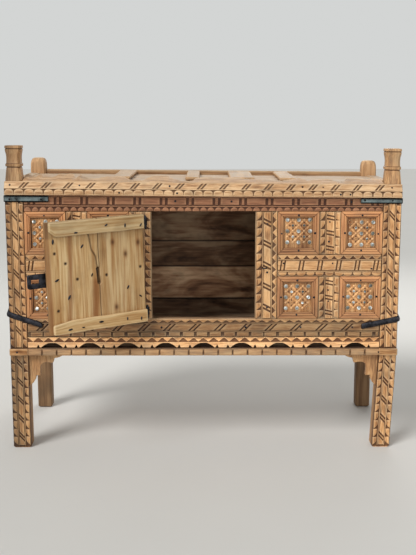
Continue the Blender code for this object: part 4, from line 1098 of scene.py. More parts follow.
# Front top rail: a lip of tongues, a sloping band of double cuts, and a waney edge at the back
topRail = {
    "lipFront": -0.013, "lip": (0.7960, 0.8124), "lipLow": 0.7948, "tonguePitch": 0.0297, "lipGround": 0.0030,
    "arris": (-0.013, 0.8135), "brow": (-0.003, 0.834), "cutPitch": 0.0669, "firstCut": -0.539,
    "cut": 0.0047, "bar": 0.0064, "lean": 0.84, "bandGround": 0.0026, "margin": 0.0024, "lapBack": 0.034,
    "deck": 0.8335, "back": 0.100,
    "station": 0.004, "knot": (0.416, 0.030, 0.011), "tone": ((0.800, 0.56), (0.832, 0.51), (0.840, 0.26)),
    # the waney edge: place along the front, back from the posts' faces, height
    "wane": ((-0.545, 0.062, 0.8510), (-0.535, 0.066, 0.8525), (-0.525, 0.058, 0.8470),
             (-0.514, 0.056, 0.8455), (-0.503, 0.068, 0.8525),
             (-0.496, 0.068, 0.8530), (-0.488, 0.056, 0.8450), (-0.476, 0.060, 0.8462),
             (-0.462, 0.058, 0.8440), (-0.448, 0.066, 0.8500),
             (-0.439, 0.070, 0.8540), (-0.4235, 0.070, 0.8512), (-0.411, 0.070, 0.8546),
             (-0.399, 0.070, 0.8536), (-0.388, 0.042, 0.8424),
             (-0.376, 0.070, 0.8538), (-0.368, 0.060, 0.8476), (-0.3485, 0.044, 0.8428),
             (-0.3285, 0.040, 0.8422), (-0.307, 0.050, 0.8442),
             (-0.292, 0.060, 0.8476), (-0.270, 0.070, 0.8468), (-0.245, 0.070, 0.8458),
             (-0.231, 0.040, 0.8422), (-0.212, 0.012, 0.8381),
             (-0.185, 0.014, 0.8385), (-0.1755, 0.040, 0.8422), (-0.1665, 0.050, 0.8450),
             (-0.154, 0.066, 0.8500), (-0.133, 0.070, 0.8512),
             (-0.108, 0.070, 0.8512), (-0.099, 0.050, 0.8442), (-0.084, 0.040, 0.8422),
             (-0.0655, 0.010, 0.8378), (-0.045, 0.012, 0.8380),
             (-0.034, 0.020, 0.8392), (-0.020, 0.050, 0.8450), (0.008, 0.060, 0.8480), (0.050, 0.062, 0.8470),
             (0.095, 0.055, 0.8462),
             (0.130, 0.050, 0.8445), (0.164, 0.045, 0.8430), (0.200, 0.040, 0.8418), (0.238, 0.030, 0.8405),
             (0.265, 0.045, 0.8430),
             (0.296, 0.060, 0.8480), (0.317, 0.030, 0.8405), (0.345, 0.045, 0.8435), (0.388, 0.050, 0.8444),
             (0.402, 0.036, 0.8412),
             (0.418, 0.034, 0.8408), (0.4305, 0.040, 0.8420), (0.440, 0.062, 0.8495), (0.470, 0.058, 0.8470),
             (0.507, 0.050, 0.8444),
             (0.525, 0.060, 0.8480), (0.545, 0.056, 0.8460)),
}


def waneAt(x):
    line = topRail["wane"]
    for first, second in zip(line, line[1:]):
        if x <= second[0]:
            share = max(0.0, (x - first[0]) / (second[0] - first[0]))
            break
    y = first[1] + (second[1] - first[1]) * share
    z = first[2] + (second[2] - first[2]) * share
    ragged = noise.noise(Vector((x * 160, 0.3, 7.1))) + 0.5 * noise.noise(Vector((x * 420, 4.3, 1.7)))
    return y + 0.004 * ragged, z + 0.0011 * ragged


slope = Vector((0, topRail["brow"][0] - topRail["arris"][0], topRail["brow"][1] - topRail["arris"][1]))
slopeTilt = math.atan2(slope.y, slope.z)
bandOut = Vector((0, -math.cos(slopeTilt), math.sin(slopeTilt)))
bandLow = Vector((0, *topRail["arris"])) - bandOut * topRail["bandGround"]
bandHigh = Vector((0, *topRail["brow"])) - bandOut * topRail["bandGround"]
lipGround = topRail["lipFront"] + topRail["lipGround"]
name = "top_rail_front"
offset = grainOffset(name)
shell = newShell()
stations = round(2 * inside / topRail["station"])
knotX, knotY, knotSize = topRail["knot"]
loops = []
for i in range(stations + 1):
    x = -inside + 2 * inside * i / stations
    backY, backZ = waneAt(x)
    brow = Vector((0, *topRail["brow"]))
    loop = [
        ((x, topRail["lapBack"], topRail["lipLow"]), 1.0, 0.0), ((x, lipGround, topRail["lipLow"]), 0.5, 0.0),
        ((x, lipGround, bandLow.z - 0.0012), 0.1, 0.0), ((x, bandLow.y, bandLow.z), 0.1, 0.0),
        ((x, bandHigh.y, bandHigh.z), 0.2, 0.0), ((x, brow.y + 0.0008, brow.z + 0.0002), 1.0, 0.3),
    ]
    for share in (0.12, 0.3, 0.5, 0.68, 0.84, 0.95, 1.0):
        y = brow.y + (backY - brow.y) * share
        z = brow.z + (backZ - brow.z) * (share ** 0.8)
        ripple = 0.0011 * noise.noise(Vector((x * 22, y * 90, 2.0))) * min(1.0, 4 * share)
        away = math.hypot(x - knotX, (y - knotY) * 0.8) / knotSize
        dent = math.exp(-away ** 2) if away < 3 else 0.0
        loop.append(((x, y, z + ripple - 0.0035 * dent), 1.0 - 0.85 * dent, 1.0 if share > 0.9 else 0.1))
    loop += [
        ((x, backY + 0.003, topRail["deck"]), 0.05, 0.0),
        ((x, topRail["back"], topRail["deck"] - 0.0010), 0.7, 0.0),
        ((x, topRail["back"], 0.8123), 1.0, 0.0), ((x, topRail["lapBack"], 0.8123), 1.0, 0.0),
    ]
    loops.append(loop)
addLoops(shell, loops, "x", offset)
for side in (-1, 1):                # the laps over the posts' faces, and the short ends behind the posts
    loops = []
    for share in (0.0, 0.25, 0.5, 0.75, 1.0):
        x = side * (inside - 0.001 + share * (chest["half"] - inside))
        loops.append([
            ((x, -fit, topRail["lipLow"]), 1.0, 0.0), ((x, lipGround, topRail["lipLow"]), 0.5, 0.0),
            ((x, lipGround, bandLow.z - 0.0012), 0.1, 0.0), ((x, bandLow.y, bandLow.z), 0.1, 0.0),
            ((x, bandHigh.y - 0.0006, bandHigh.z), 0.3, 0.0), ((x, -fit, bandHigh.z + 0.0006), 0.9, 0.9),
        ])
    addLoops(shell, loops, "x", offset)
    ends = sorted((side * (inside - 0.004), side * 0.5594))
    wornBoard(shell, Vector((ends[0], 0.0556, 0.8123)), Vector((ends[1], topRail["back"], 0.8425)), "x",
        0.002, 0.004, offset=offset)
reachEnds = (-chest["half"] + 0.001, chest["half"] - 0.001)
board = boardFor(name, "x", Vector((0, 0, 0)), Vector((0, 0, 0)), topRail["lipFront"], topRail["lipGround"],
    reachEnds)
board["offset"] = offset
tongueRow(shell, board, topRail["lip"], topRail["tonguePitch"], join=-0.0004, straight=0.36, roundness=0.85)
filletRow(shell, board, (topRail["lipLow"], topRail["lip"][0] + 0.0006), topRail["lipGround"] - 0.0003)
band = newShell()                   # carved flat, then leant back on the slope
board = boardFor(name, "x", Vector((0, 0, 0)), Vector((0, 0, 0)), -topRail["bandGround"],
    topRail["bandGround"], reachEnds)
board["offset"] = offset
slashRow(band, board, (0.0006, slope.length + 0.0006), topRail["cutPitch"], topRail["cut"], topRail["bar"],
    topRail["lean"], topRail["firstCut"])
filletRow(band, board, (0.0002, topRail["margin"]))
filletRow(band, board, (slope.length - topRail["margin"], slope.length + 0.0008))
lean = Matrix.Translation(bandLow) @ Matrix.Rotation(-slopeTilt, 4, "X")
first = len(shell["points"])
for key in ("relief", "edge", "grain"):
    shell[key] += band[key]
shell["points"] += [lean @ point for point in band["points"]]
shell["faces"] += [tuple(first + i for i in face) for face in band["faces"]]
wobble(shell, 0.0005, 0.025, topRail["lipFront"])
finishShell("carved_front_top_rail", shell, bleachedTeak, [name], tone=rising(topRail["tone"]))
print("top rail carved")

# Panel frames: four mitred mouldings each, with a dark line at every mitre
moulding = {
    "mitreGap": 0.0002, "steps": 4, "tone": {"inner": 0.40, "outer": 1.20}, "fade": 0.46,
    # in from the frame's edge, and back from the posts' faces
    "profile": ((0.0, 0.0136), (0.0, 0.0044), (0.0009, 0.0036), (0.0082, 0.0036), (0.0088, 0.0060),
                (0.0096, 0.0060),
                (0.0104, 0.0044), (0.0142, 0.0050), (0.0149, 0.0070), (0.0157, 0.0070), (0.0165, 0.0064),
                (0.0186, 0.0086), (0.0186, 0.0136)),
    "relief": (0.3, 0.9, 1.0, 1.0, 0.72, 0.72, 1.0, 1.0, 0.50, 0.50, 1.0, 0.9, 0.1),
    "edge": (0, 0.2, 0.5, 0.2, 0, 0, 0.4, 0.3, 0, 0, 0.7, 0.5, 0),
}


def addMoulding(shell, low, high, offset):
    corners = [(low.x, low.z), (high.x, low.z), (high.x, high.z), (low.x, high.z)]
    for side in range(4):
        start, end = Vector(corners[side]), Vector(corners[(side + 1) % 4])
        ahead = (end - start).normalized()
        inward = Vector((-ahead.y, ahead.x))
        lift = tuple(value + 0.21 * side for value in offset)
        loops = []
        for step in range(moulding["steps"] + 1):
            share = step / moulding["steps"]
            loop = []
            for (inset, y), relief, edge in zip(moulding["profile"], moulding["relief"], moulding["edge"]):
                mitre = inset + moulding["mitreGap"]
                first = start + ahead * mitre + inward * inset
                last = end - ahead * mitre + inward * inset
                spot = first.lerp(last, share)
                atMitre = 0.30 if step in (0, moulding["steps"]) else 1.0
                loop.append(((spot.x, y, spot.y), relief * atMitre, edge * atMitre))
            if step in (1, moulding["steps"] - 1):          # keeps the dark mitre narrow
                near = 0.0022 if step == 1 else -0.0022
                moved = []
                for ((x, y, z), relief, edge), (inset, depth) in zip(loop, moulding["profile"]):
                    mitre = inset + moulding["mitreGap"]
                    base = start + ahead * mitre if step == 1 else end - ahead * mitre
                    spot = base + inward * inset + ahead * near
                    moved.append(((spot.x, y, spot.y), relief, edge))
                loop = moved
            loops.append(loop)
        addLoops(shell, loops, "x" if side % 2 == 0 else "z", lift)


frameNames = [f"panel_frame_{side}_{level}_{column}" for side in ("left", "right")
              for level in ("upper", "lower") for column in ("inner", "outer")]
for name in frameNames:
    low, high = nodeBox(name)
    shell = newShell()
    addMoulding(shell, low, high, grainOffset(name))
    wobble(shell, 0.0004, 0.03, low.y)
    base = moulding["tone"][name.split("_")[-1]] + 0.2 * (spread(name) - 0.5)
    steps = ((low.z, base - moulding["fade"]), (high.z, base + moulding["fade"]))
    finishShell("mitred_" + name, shell, mouldingTeak, [name], tone=rising(steps))

# Carved lattice in the frames: a mirror in every diamond, large and small in turn
lattice = {
    "pitch": 0.0345, "bigMirror": 0.0058, "smallMirror": 0.0038, "collar": 0.0018, "collarRise": 0.0016,
    "leaf": (0.0112, 0.0042), "leafRise": 0.0009, "boss": (0.0042, 0.0040), "bossRise": 0.0024, "pit": 0.0021,
    "mirrorTilt": 0.30, "sides": 10, "tone": 1.05,
    "leastRelief": {"leaf": 0.66, "boss": 0.5, "big": 0.25, "small": 0.25},
    # painted shadow under the edges of a frame: width at the foot, the head, the left and the right
    "dirt": (0.0012, 0.0034, 0.0026, 0.0010), "opening": 0.0180, "silverAndGlint": {"big": 0.45, "small": 1.0},
    "setHigh": {"panel_frame_right_upper_inner": 0.0055, "panel_frame_right_upper_outer": -0.0035},
}


def circleOutline(radius, sides):
    return [(radius * math.cos(2 * math.pi * i / sides),
        radius * math.sin(2 * math.pi * i / sides)) for i in range(sides)]


def linkUnit(name, shell):
    unit = bpy.data.objects.new(name, meshOf(name, shell))
    bpy.context.scene.collection.objects.link(unit)
    return unit


def ringUnit(name, inner, outer, height, sides):
    shell = newShell()
    rings = ((outer, 0.0015, 0.0, 0.0), (outer, -0.0004, 0.2, 0.0), (outer - 0.0010, -height, 1.0, 1.0),
             (inner + 0.0006, -height, 1.0, 0.8), (inner, -0.0006, 0.3, 0.0), (inner, 0.0015, 0.0, 0.0))
    for radius, y, relief, edge in rings:
        for x, z in circleOutline(radius, sides):
            shell["points"].append(Vector((x, y, z)))
            shell["relief"].append(relief)
            shell["edge"].append(edge)
            shell["grain"].append((x, y, z))
    for ring in range(len(rings)):
        for i in range(sides):
            after = (ring + 1) % len(rings)
            shell["faces"].append((ring * sides + i, ring * sides + (i + 1) % sides,
                after * sides + (i + 1) % sides, after * sides + i))
    return linkUnit(name, shell)


def domeUnit(name, radius, height, sides, silverAndGlint):    # a blown-glass mirror, duller in the middle, with a brightness by kind that is partly its silver and partly a painted glint
    shell = newShell()
    rings = ((1.0, 0.0012, 0.8), (1.0, -0.25, 1.0), (0.72, -0.75, 1.0), (0.42, -0.95, 0.75),
        (0.14, -1.0, 0.25))
    loops = []
    for share, rise, relief in rings:
        y = rise if rise > 0 else rise * height
        loops.append([((x, y, z), relief * silverAndGlint, 0.0) for x, z in circleOutline(radius * share, sides)])
    addLoops(shell, loops, "x")
    return linkUnit(name, shell)


def pitUnit(name, radius, sides):                    # a drill mark, painted dark for the shade inside the hole
    shell = newShell()
    rings = ((1.0, 0.0012), (1.0, -0.0002), (0.5, -0.0003))
    addLoops(shell, [[((x, y, z), 0.0, 0.0) for x, z in circleOutline(radius * share, sides)] for share,
        y in rings], "x")
    return linkUnit(name, shell)


def leafOutline(half, width):
    return [(-half, 0), (-0.5 * half, -0.85 * width), (0, -width), (0.5 * half, -0.85 * width),
            (half, 0), (0.5 * half, 0.85 * width), (0, width), (-0.5 * half, 0.85 * width)]


windows = {"left": [], "right": []}
for name in frameNames:
    low, high = nodeBox(name)
    windows["left" if "_left_" in name else "right"].append((name, (low + high) / 2))
mirrorSpots = {"big": [], "small": []}
mirrorTurns = {"big": [], "small": []}
for side in ("left", "right"):
    name = f"front_board_{side}"
    low, high = nodeBox(name)
    offset = grainOffset(name)
    shell = newShell()
    wornBoard(shell, low, high, "z", relief=0.64, offset=offset)
    spots = {"big": [], "small": [], "leaf": [], "boss": [], "pit": []}
    leafTurns = []
    for window, middle in windows[side]:
        step = lattice["pitch"]
        skew = Vector((spread(window, 1) - 0.5, 0, spread(window, 2) - 0.5)) * 0.003
        skew.z += lattice["setHigh"].get(window, 0.0)
        centre = Vector((middle.x, low.y, middle.z)) + skew
        for column in (-1, 0, 1):
            for row in (-1, 0, 1):
                spots["big"].append(centre + Vector((column * step, 0, row * step)))
        for column in (-0.5, 0.5):
            for row in (-0.5, 0.5):
                spot = centre + Vector((column * step, 0, row * step))
                spots["small"].append(spot)
                for across in (-1, 1):
                    for up in (-1, 1):
                        spots["leaf"].append(spot + Vector((across * step / 4, 0, up * step / 4)))
                        leafTurns.append((0, math.radians(45) * across * up, 0))
        for column in (-1, 1):
            for row in (-1, 1):
                for along, across in ((0.25, 0.0), (0.0, 0.25), (-0.25, 0.0), (0.0, -0.25)):
                    spots["pit"].append(centre + Vector(((column / 2 + along) * step, 0,
                        (row / 2 + across) * step)))
        for along, across in ((-0.5, -1), (0.5, -1), (-0.5, 0), (0.5, 0), (-0.5, 1), (0.5, 1)):
            spots["boss"].append(centre + Vector((along * step, 0, across * step)))
            spots["boss"].append(centre + Vector((across * step, 0, along * step)))
    # dark strips inside each frame's opening: painted shadow of the frame
    for window, middle in windows[side]:
        under, over = nodeBox(window)
        left, right = under.x + lattice["opening"], over.x - lattice["opening"]
        foot, head = under.z + lattice["opening"], over.z - lattice["opening"]
        foots, heads, lefts, rights = lattice["dirt"]
        for x0, x1, z0, z1 in ((left, right, foot, foot + foots), (left, right, head - heads, head),
                               (left, left + lefts, foot, head), (right - rights, right, foot, head)):
            corners = ((x0, z0), (x1, z0), (x1, z1), (x0, z1))
            loops = [[((x, low.y + depth, z), 0.0, 0.0) for x, z in corners] for depth in (0.0012, -0.0003)]
            addLoops(shell, loops, "z", offset)
    collars = {
        "big": ringUnit("collar", lattice["bigMirror"], lattice["bigMirror"] + lattice["collar"],
                        lattice["collarRise"], lattice["sides"]),
        "small": ringUnit("collar", lattice["smallMirror"], lattice["smallMirror"] + lattice["collar"],
                          lattice["collarRise"], lattice["sides"]),
        "leaf": reliefUnit("leaf", leafOutline(*lattice["leaf"]), lattice["leafRise"], 0.0014, 0.0007,
                           rub=0.3),
        "boss": reliefUnit("boss", leafOutline(*lattice["boss"]), lattice["bossRise"], 0.0012, 0.0008),
        "pit": pitUnit("pit", lattice["pit"], 7),
    }
    for kind, unit in collars.items():
        turns = leafTurns if kind == "leaf" else [(0, 0, 0)] * len(spots[kind])
        mesh = scatterMesh(unit, spots[kind], turns, 0.08, carvedTeak)
        addMesh(shell, mesh, "z", offset, lattice["leastRelief"].get(kind, 0.0))
        dropUnit(unit)
    wobble(shell, 0.0006, 0.012)
    finishShell("lattice_" + name, shell, carvedTeak, [name], tone=lattice["tone"])
    for kind in ("big", "small"):
        for index, spot in enumerate(spots[kind]):
            if spread(f"{side}{kind}{index}") < 0.09:           # a few mirrors are lost
                continue
            mirrorSpots[kind].append(spot - Vector((0, 0.0010, 0)))
            tilts = [lattice["mirrorTilt"] * (2 * spread(f"{side}{kind}{index}", step) - 1) for step in (1,
                2)]
            mirrorTurns[kind].append((tilts[0] - 0.10, 0, tilts[1]))
shell = newShell()
# the small mirrors are painted brighter than the large ones: painted glints
for kind, size in (("big", lattice["bigMirror"]), ("small", lattice["smallMirror"])):
    unit = domeUnit("mirror", size + 0.0003, 0.0008, lattice["sides"], lattice["silverAndGlint"][kind])
    mesh = scatterMesh(unit, mirrorSpots[kind], mirrorTurns[kind], 0.0, mirrorSilver)
    addMesh(shell, mesh, "x")
    dropUnit(unit)
finishShell("little_round_mirrors", shell, mirrorSilver, smooth=50)
print("panels framed and set with mirrors")


# Plain boards of the top, the walls and the floor

bleached = 2.4


def plainBoard(name, along, material, bevel=0.003, dip=0.0016, cell=0.04, tone=None, leant=False,
        lap=0.0, seam=0.0, inner=None, worn=0.0):
    low, high = levelBox(name) if leant else nodeBox(name)
    middle = (low.y + high.y) / 2
    low.z -= lap
    high.z += lap - worn
    shell = newShell()
    margin = 2 * seam if seam else 0.009
    wornBoard(shell, low, high, along, bevel, margin, cell, dip, offset=grainOffset(name))
    for index, point in enumerate(shell["points"]):         # dirt gathers in the seams
        if min(point.z - low.z, high.z - point.z) < seam:
            shell["relief"][index], shell["edge"][index] = 0.0, 0.0
        elif inner is not None and point.y > middle:        # the outside has bleached
            shell["edge"][index] = bleached
    rule = tone if inner is None else lambda point: inner if point.y < middle else tone
    finishShell("worn_" + name, shell, material, [name], tone=rule)


# Floor of the chest: strips laid side by side, brightened with painted light inside the chest, with a front
# edge painted dark as shade behind the arches
floorBoard = {"strips": 3, "edge": 0.004, "edgeTone": -1.3, "front": 1.4, "back": 1.2}


def floorTone(point):
    low, high = nodeBox("floor_board")
    # a dark front edge of painted shade, and a raised tone behind it as painted light
    if point.y < low.y + floorBoard["edge"]:
        return floorBoard["edgeTone"]
    share = (point.y - low.y) / (high.y - low.y)
    return floorBoard["front"] + (floorBoard["back"] - floorBoard["front"]) * share


for name, tone in (("top_rail_left", 0.5), ("top_rail_right", 0.5)):
    plainBoard(name, "y", plainTeak, tone=tone, leant=True, worn=0.0115)
plainBoard("top_rail_back", "x", plainTeak, tone=0.25, leant=True)
for name, tone in (("top_board_front", 0.55), ("top_board_back", 0.45)):
    plainBoard(name, "x", plainTeak, tone=tone, leant=True)
for index in (1, 2, 3, 4):
    plainBoard(f"top_batten_{index}", "y", plainTeak, 0.004, 0.003, 0.02, 0.55 + 0.06 * index,
        True)
# the inner faces' tones are fitted to the brightness inside the chest: partly the boards' own shades, partly
# painted light and shade
for index, inner, tone in ((1, 2.0, 0.15), (2, -0.2, -0.1), (3, 0.20, 0.05)):
    plainBoard(f"back_board_{index}", "x", smokedBoards, 0.0016, 0.0008, tone=tone, lap=0.0016,
        seam=0.0026, inner=inner)
plainBoard("low_rail_back", "x", smokedBoards, tone=0.1, seam=0.0026, inner=-0.65)
low, high = nodeBox("floor_board")
shell = newShell()
for strip in range(floorBoard["strips"]):
    start = low.y + (high.y - low.y) * strip / floorBoard["strips"]
    end = low.y + (high.y - low.y) * (strip + 1) / floorBoard["strips"]
    wornBoard(shell, Vector((low.x, start, low.z)), Vector((high.x, end - fit, high.z)), "x", 0.0014,
        offset=grainOffset(f"floor{strip}"))
finishShell("worn_floor_board", shell, smokedBoards, ["floor_board"], tone=floorTone)
wall = {"boards": 4, "seam": 0.0011, "tone": 0.5}
for side in ("left", "right"):      # each wall is cut into boards that lie one over another
    name = f"side_wall_{side}"
    low, high = nodeBox(name)
    shell = newShell()
    height = (high.z - low.z) / wall["boards"]
    for index in range(wall["boards"]):
        under = Vector((low.x, low.y, low.z + index * height + wall["seam"] / 2))
        over = Vector((high.x, high.y, low.z + (index + 1) * height - wall["seam"] / 2))
        wornBoard(shell, under, over, "y", 0.0018, 0.008, 0.04, 0.0012, offset=grainOffset(f"{name}{index}"))
    wall["tone"] += 0.05
    finishShell("boarded_" + name, shell, plainTeak, [name], tone=wall["tone"])

# Back posts: plain and square, with rounded stumps over the top
backPost = {
    "chamfer": 0.005, "foot": 0.004, "tone": ((0.0, -0.80), (0.38, -0.60), (0.80, 0.7), (0.90, 1.1)),
    "stump": ((0.846, 0.0, 1.0), (0.866, 0.0005, 1.1), (0.876, 0.0022, 1.5), (0.882, 0.0055, 2.0),
              (0.8848, 0.0110, 2.0)),
}
for side in ("left", "right"):
    name = f"post_back_{side}"
    low, high = levelBox(name)
    half = (high.x - low.x) / 2
    centreX, centreY = (low.x + high.x) / 2, (low.y + high.y) / 2
    loops = [squareLoop(centreX, centreY, half - backPost["foot"], backPost["chamfer"], 0.0)]
    for z in (backPost["foot"], 0.10, 0.20, 0.30, 0.42, 0.54, 0.66, 0.76, 0.82):
        loops.append(squareLoop(centreX, centreY, half, backPost["chamfer"], z, 0.0, 0.3))
    for z, inset, rounding in backPost["stump"]:
        loops.append(squareLoop(centreX, centreY, half - inset, backPost["chamfer"] * rounding, z, 0.0, 0.5))
    shell = newShell()
    addLoops(shell, loops, "z", grainOffset(name))
    wobble(shell, 0.0007, 0.05)
    finishShell("worn_" + name, shell, plainTeak, [name], tone=rising(backPost["tone"]),
        smooth=40)
print("boards and back posts made")


# Copies of solids of the frame, with the sharp edges taken off

def softened(node, bevel, segments=2, along="x", corner=0.0, rim=0.0):
    mesh = frame["nodes"][node].data.copy()
    shaped = bmesh.new()
    shaped.from_mesh(mesh)
    bmesh.ops.remove_doubles(shaped, verts=shaped.verts, dist=0.00002)
    bmesh.ops.dissolve_limit(shaped, angle_limit=math.radians(1.5), verts=shaped.verts, edges=shaped.edges)
    if corner:                      # the plate's own corners are forged round
        corners = [edge for edge in shaped.edges if edge.is_convex and edge.calc_length() < corner
                   and edge.calc_face_angle(0) > math.radians(60)]
        bmesh.ops.bevel(shaped, geom=corners, offset=corner, segments=4, profile=0.5, affect="EDGES",
            clamp_overlap=True)
    sharp = [edge for edge in shaped.edges if len(edge.link_faces) == 2
             and edge.calc_face_angle(0) > math.radians(28)]
    bmesh.ops.bevel(shaped, geom=sharp, offset=bevel, segments=segments, profile=0.6, affect="EDGES",
        clamp_overlap=True)
    broad = [face for face in shaped.faces if face.calc_area() > rim * 0.02] if rim else []
    if broad:                       # a rim inside each broad face, so that its edges can take painted shade
        bmesh.ops.inset_individual(shaped, faces=broad, thickness=rim)
    edge = shaped.verts.layers.float.new("edge")
    relief = shaped.verts.layers.float.new("relief")
    for vert in shaped.verts:
        bends = [line.calc_face_angle(0) for line in vert.link_edges if len(line.link_faces) == 2]
        vert[edge] = 1.0 if max(bends, default=0) > math.radians(15) else 0.0
        vert[relief] = 1.0
    shaped.to_mesh(mesh)
    shaped.free()
    layer = mesh.attributes.new("grain", "FLOAT_VECTOR", "POINT")
    offset = grainOffset(node)
    layer.data.foreach_set("vector", [value for vert in mesh.vertices for value in grainOf(vert.co, along,
        offset)])
    setTone(mesh, 0.5)
    return mesh


# Leg brackets: a long lobe under the base rail, a step, a scoop, a second step and a tapering tail
bracket = {
    "front": 0.0100, "back": 0.0280, "bevel": 0.0014, "tone": {"left": -0.02, "right": 0.03},
    # from the post's inner side, and down from the base rail
    "outline": ((0.0, 0.0), (0.1085, 0.0), (0.1035, -0.0048), (0.0960, -0.0088), (0.0880, -0.0113),
                (0.0800, -0.0124), (0.0782, -0.0150),
                (0.0762, -0.0215), (0.0742, -0.0280), (0.0700, -0.0276), (0.0610, -0.0256), (0.0530, -0.0252),
                (0.0455, -0.0266),
                (0.0400, -0.0302), (0.0366, -0.0356), (0.0350, -0.0440), (0.0344, -0.0560), (0.0348, -0.0680),
                (0.0207, -0.0680),
                (0.0200, -0.0735), (0.0178, -0.0815), (0.0128, -0.0900), (0.0066, -0.0964), (0.0, -0.1016)),
}
for side in ("left", "right"):
    name = f"leg_bracket_{side}"
    sign = 1 if side == "left" else -1
    outline = []
    for x, drop in bracket["outline"]:
        z = chest["legClear"] - fit + drop
        outline.append(Vector((sign * (x - inside) + legShift(side, z), z)))
    if sign > 0:
        outline.reverse()
    brow = insetLoop(outline, bracket["bevel"])
    shell = newShell()
    addLoops(shell, [
        [((x, bracket["back"], z), 1.0, 0.3) for x, z in outline],
        [((x, bracket["front"] + bracket["bevel"], z), 0.9, 0.6) for x, z in outline],
        [((x, bracket["front"], z), 1.0, 0.25) for x, z in brow],
    ], "z", grainOffset(name))
    finishShell("stepped_" + name, shell, carvedTeak, [name], tone=bracket["tone"][side])
for side in ("left", "right"):
    dress(f"flat_corner_strap_{side}", softened(f"corner_strap_{side}", 0.0012, rim=0.0032), greyStrapIron,
        [f"corner_strap_{side}"], "carcass", 35)

# Corner bars: hammered half round, bent round the corner, and falling towards the middle of the front
cornerBar = {
    "height": 0.0185, "thickness": 0.0050, "fall": {"left": 18.6, "right": 11.8}, "arc": 12,
    "stations": (0.020, 0.045, 0.070), "end": ((0.0050, 1.0), (0.0020, 0.90), (0.0005, 0.70), (0.0, 0.40)),
}


def barLoops(side):
    low, high = nodeBox(f"corner_bar_{side}")
    height, thickness = cornerBar["height"], cornerBar["thickness"]
    sign = 1 if side == "right" else -1
    outer = high.x if side == "right" else -low.x
    length = high.x - low.x
    slope = math.tan(math.radians(cornerBar["fall"][side]))
    middle = low.z + height / 2 + slope * length
    face = low.y + thickness

    def section(scale, placed):     # half round, from the upper edge to the lower one
        angles = [math.pi * step / cornerBar["arc"] for step in range(cornerBar["arc"] + 1)]
        spots = [(height / 2 * scale * math.cos(turn), thickness * scale * math.sin(turn)) for turn in angles]
        return [(placed(rise, depth), 1.0, 0.0) for rise, depth in spots]

    def onSide(y, scale):
        return section(scale, lambda rise, depth: (
            sign * (outer - thickness + depth), y, middle + rise + slope * (y - low.y)))

    def onFront(run, scale):
        return section(scale, lambda rise, depth: (sign * (outer - run), face - depth,
            middle + rise - slope * run))

    loops = [onSide(high.y - inset, scale) for inset, scale in reversed(cornerBar["end"])]
    loops.append(section(1.0, lambda rise, depth: (sign * (outer - thickness + depth), face - depth,
        middle + rise)))
    loops += [onFront(run, 1.0) for run in cornerBar["stations"]]
    return loops + [onFront(length - inset, scale) for inset, scale in cornerBar["end"]]


for side in ("left", "right"):
    shell = newShell()
    addLoops(shell, barLoops(side), "x", grainOffset(side))
    finishShell(f"hammered_corner_bar_{side}", shell, blackIron, [f"corner_bar_{side}"],
        smooth=50)
ironwork = {
    "hinge_strap_top": "door", "hinge_strap_bottom": "door", "hasp_staple": "door", "hasp": "hasp",
    "hinge_pin_top": "carcass", "hinge_pin_bottom": "carcass", "lock_staple": "carcass",
}
for node, body in ironwork.items():
    corner = 0.0105 if node == "hasp" else 0.0
    dress("forged_" + node, softened(node, 0.0007, corner=corner), blackIron, [node], body, 40)
print("brackets and irons softened")

# Door: two pale planks with a wandering seam, a split, nail holes, knots and stains, and two ledges
door = {
    "half": 0.1555, "low": 0.4165, "high": 0.744, "face": 0.018, "outer": 0.002, "cell": 0.0020,
    "seam": -0.0072, "seamGap": 0.0012,
    "split": ((0.0230, 0.7000), (0.0210, 0.6916), (0.0143, 0.6528), (0.0022, 0.6324), (-0.0009, 0.6073),
              (-0.0032, 0.5947)),
    "slit": ((-0.0032, 0.5947), (-0.0060, 0.5541)),
    "streak": ((0.0800, 0.7000), (0.0810, 0.6840), (0.0945, 0.4540)),
    "stain": ((0.0060, 0.5560), (0.0130, 0.4620)),
    "holes": ((0.1296, 0.6526), (0.0974, 0.6209), (0.0628, 0.5713), (0.1270, 0.4846), (-0.0305, 0.5735),
              (-0.1431, 0.5859)),
    "knots": ((-0.0535, 0.6693), (-0.1372, 0.6611), (-0.0941, 0.6305), (-0.0572, 0.4735)),
    "wane": 0.0150, "ledgeFoot": 0.701, "tone": {"door_plank_hinge": 0.34, "door_plank_free": 0.58},
}


def awayFrom(line, x, z):
    best = 1.0
    for (x0, z0), (x1, z1) in zip(line, line[1:]):
        length = (x1 - x0) ** 2 + (z1 - z0) ** 2
        share = min(max(((x - x0) * (x1 - x0) + (z - z0) * (z1 - z0)) / length, 0.0), 1.0)
        best = min(best, math.hypot(x - x0 - share * (x1 - x0), z - z0 - share * (z1 - z0)))
    return best


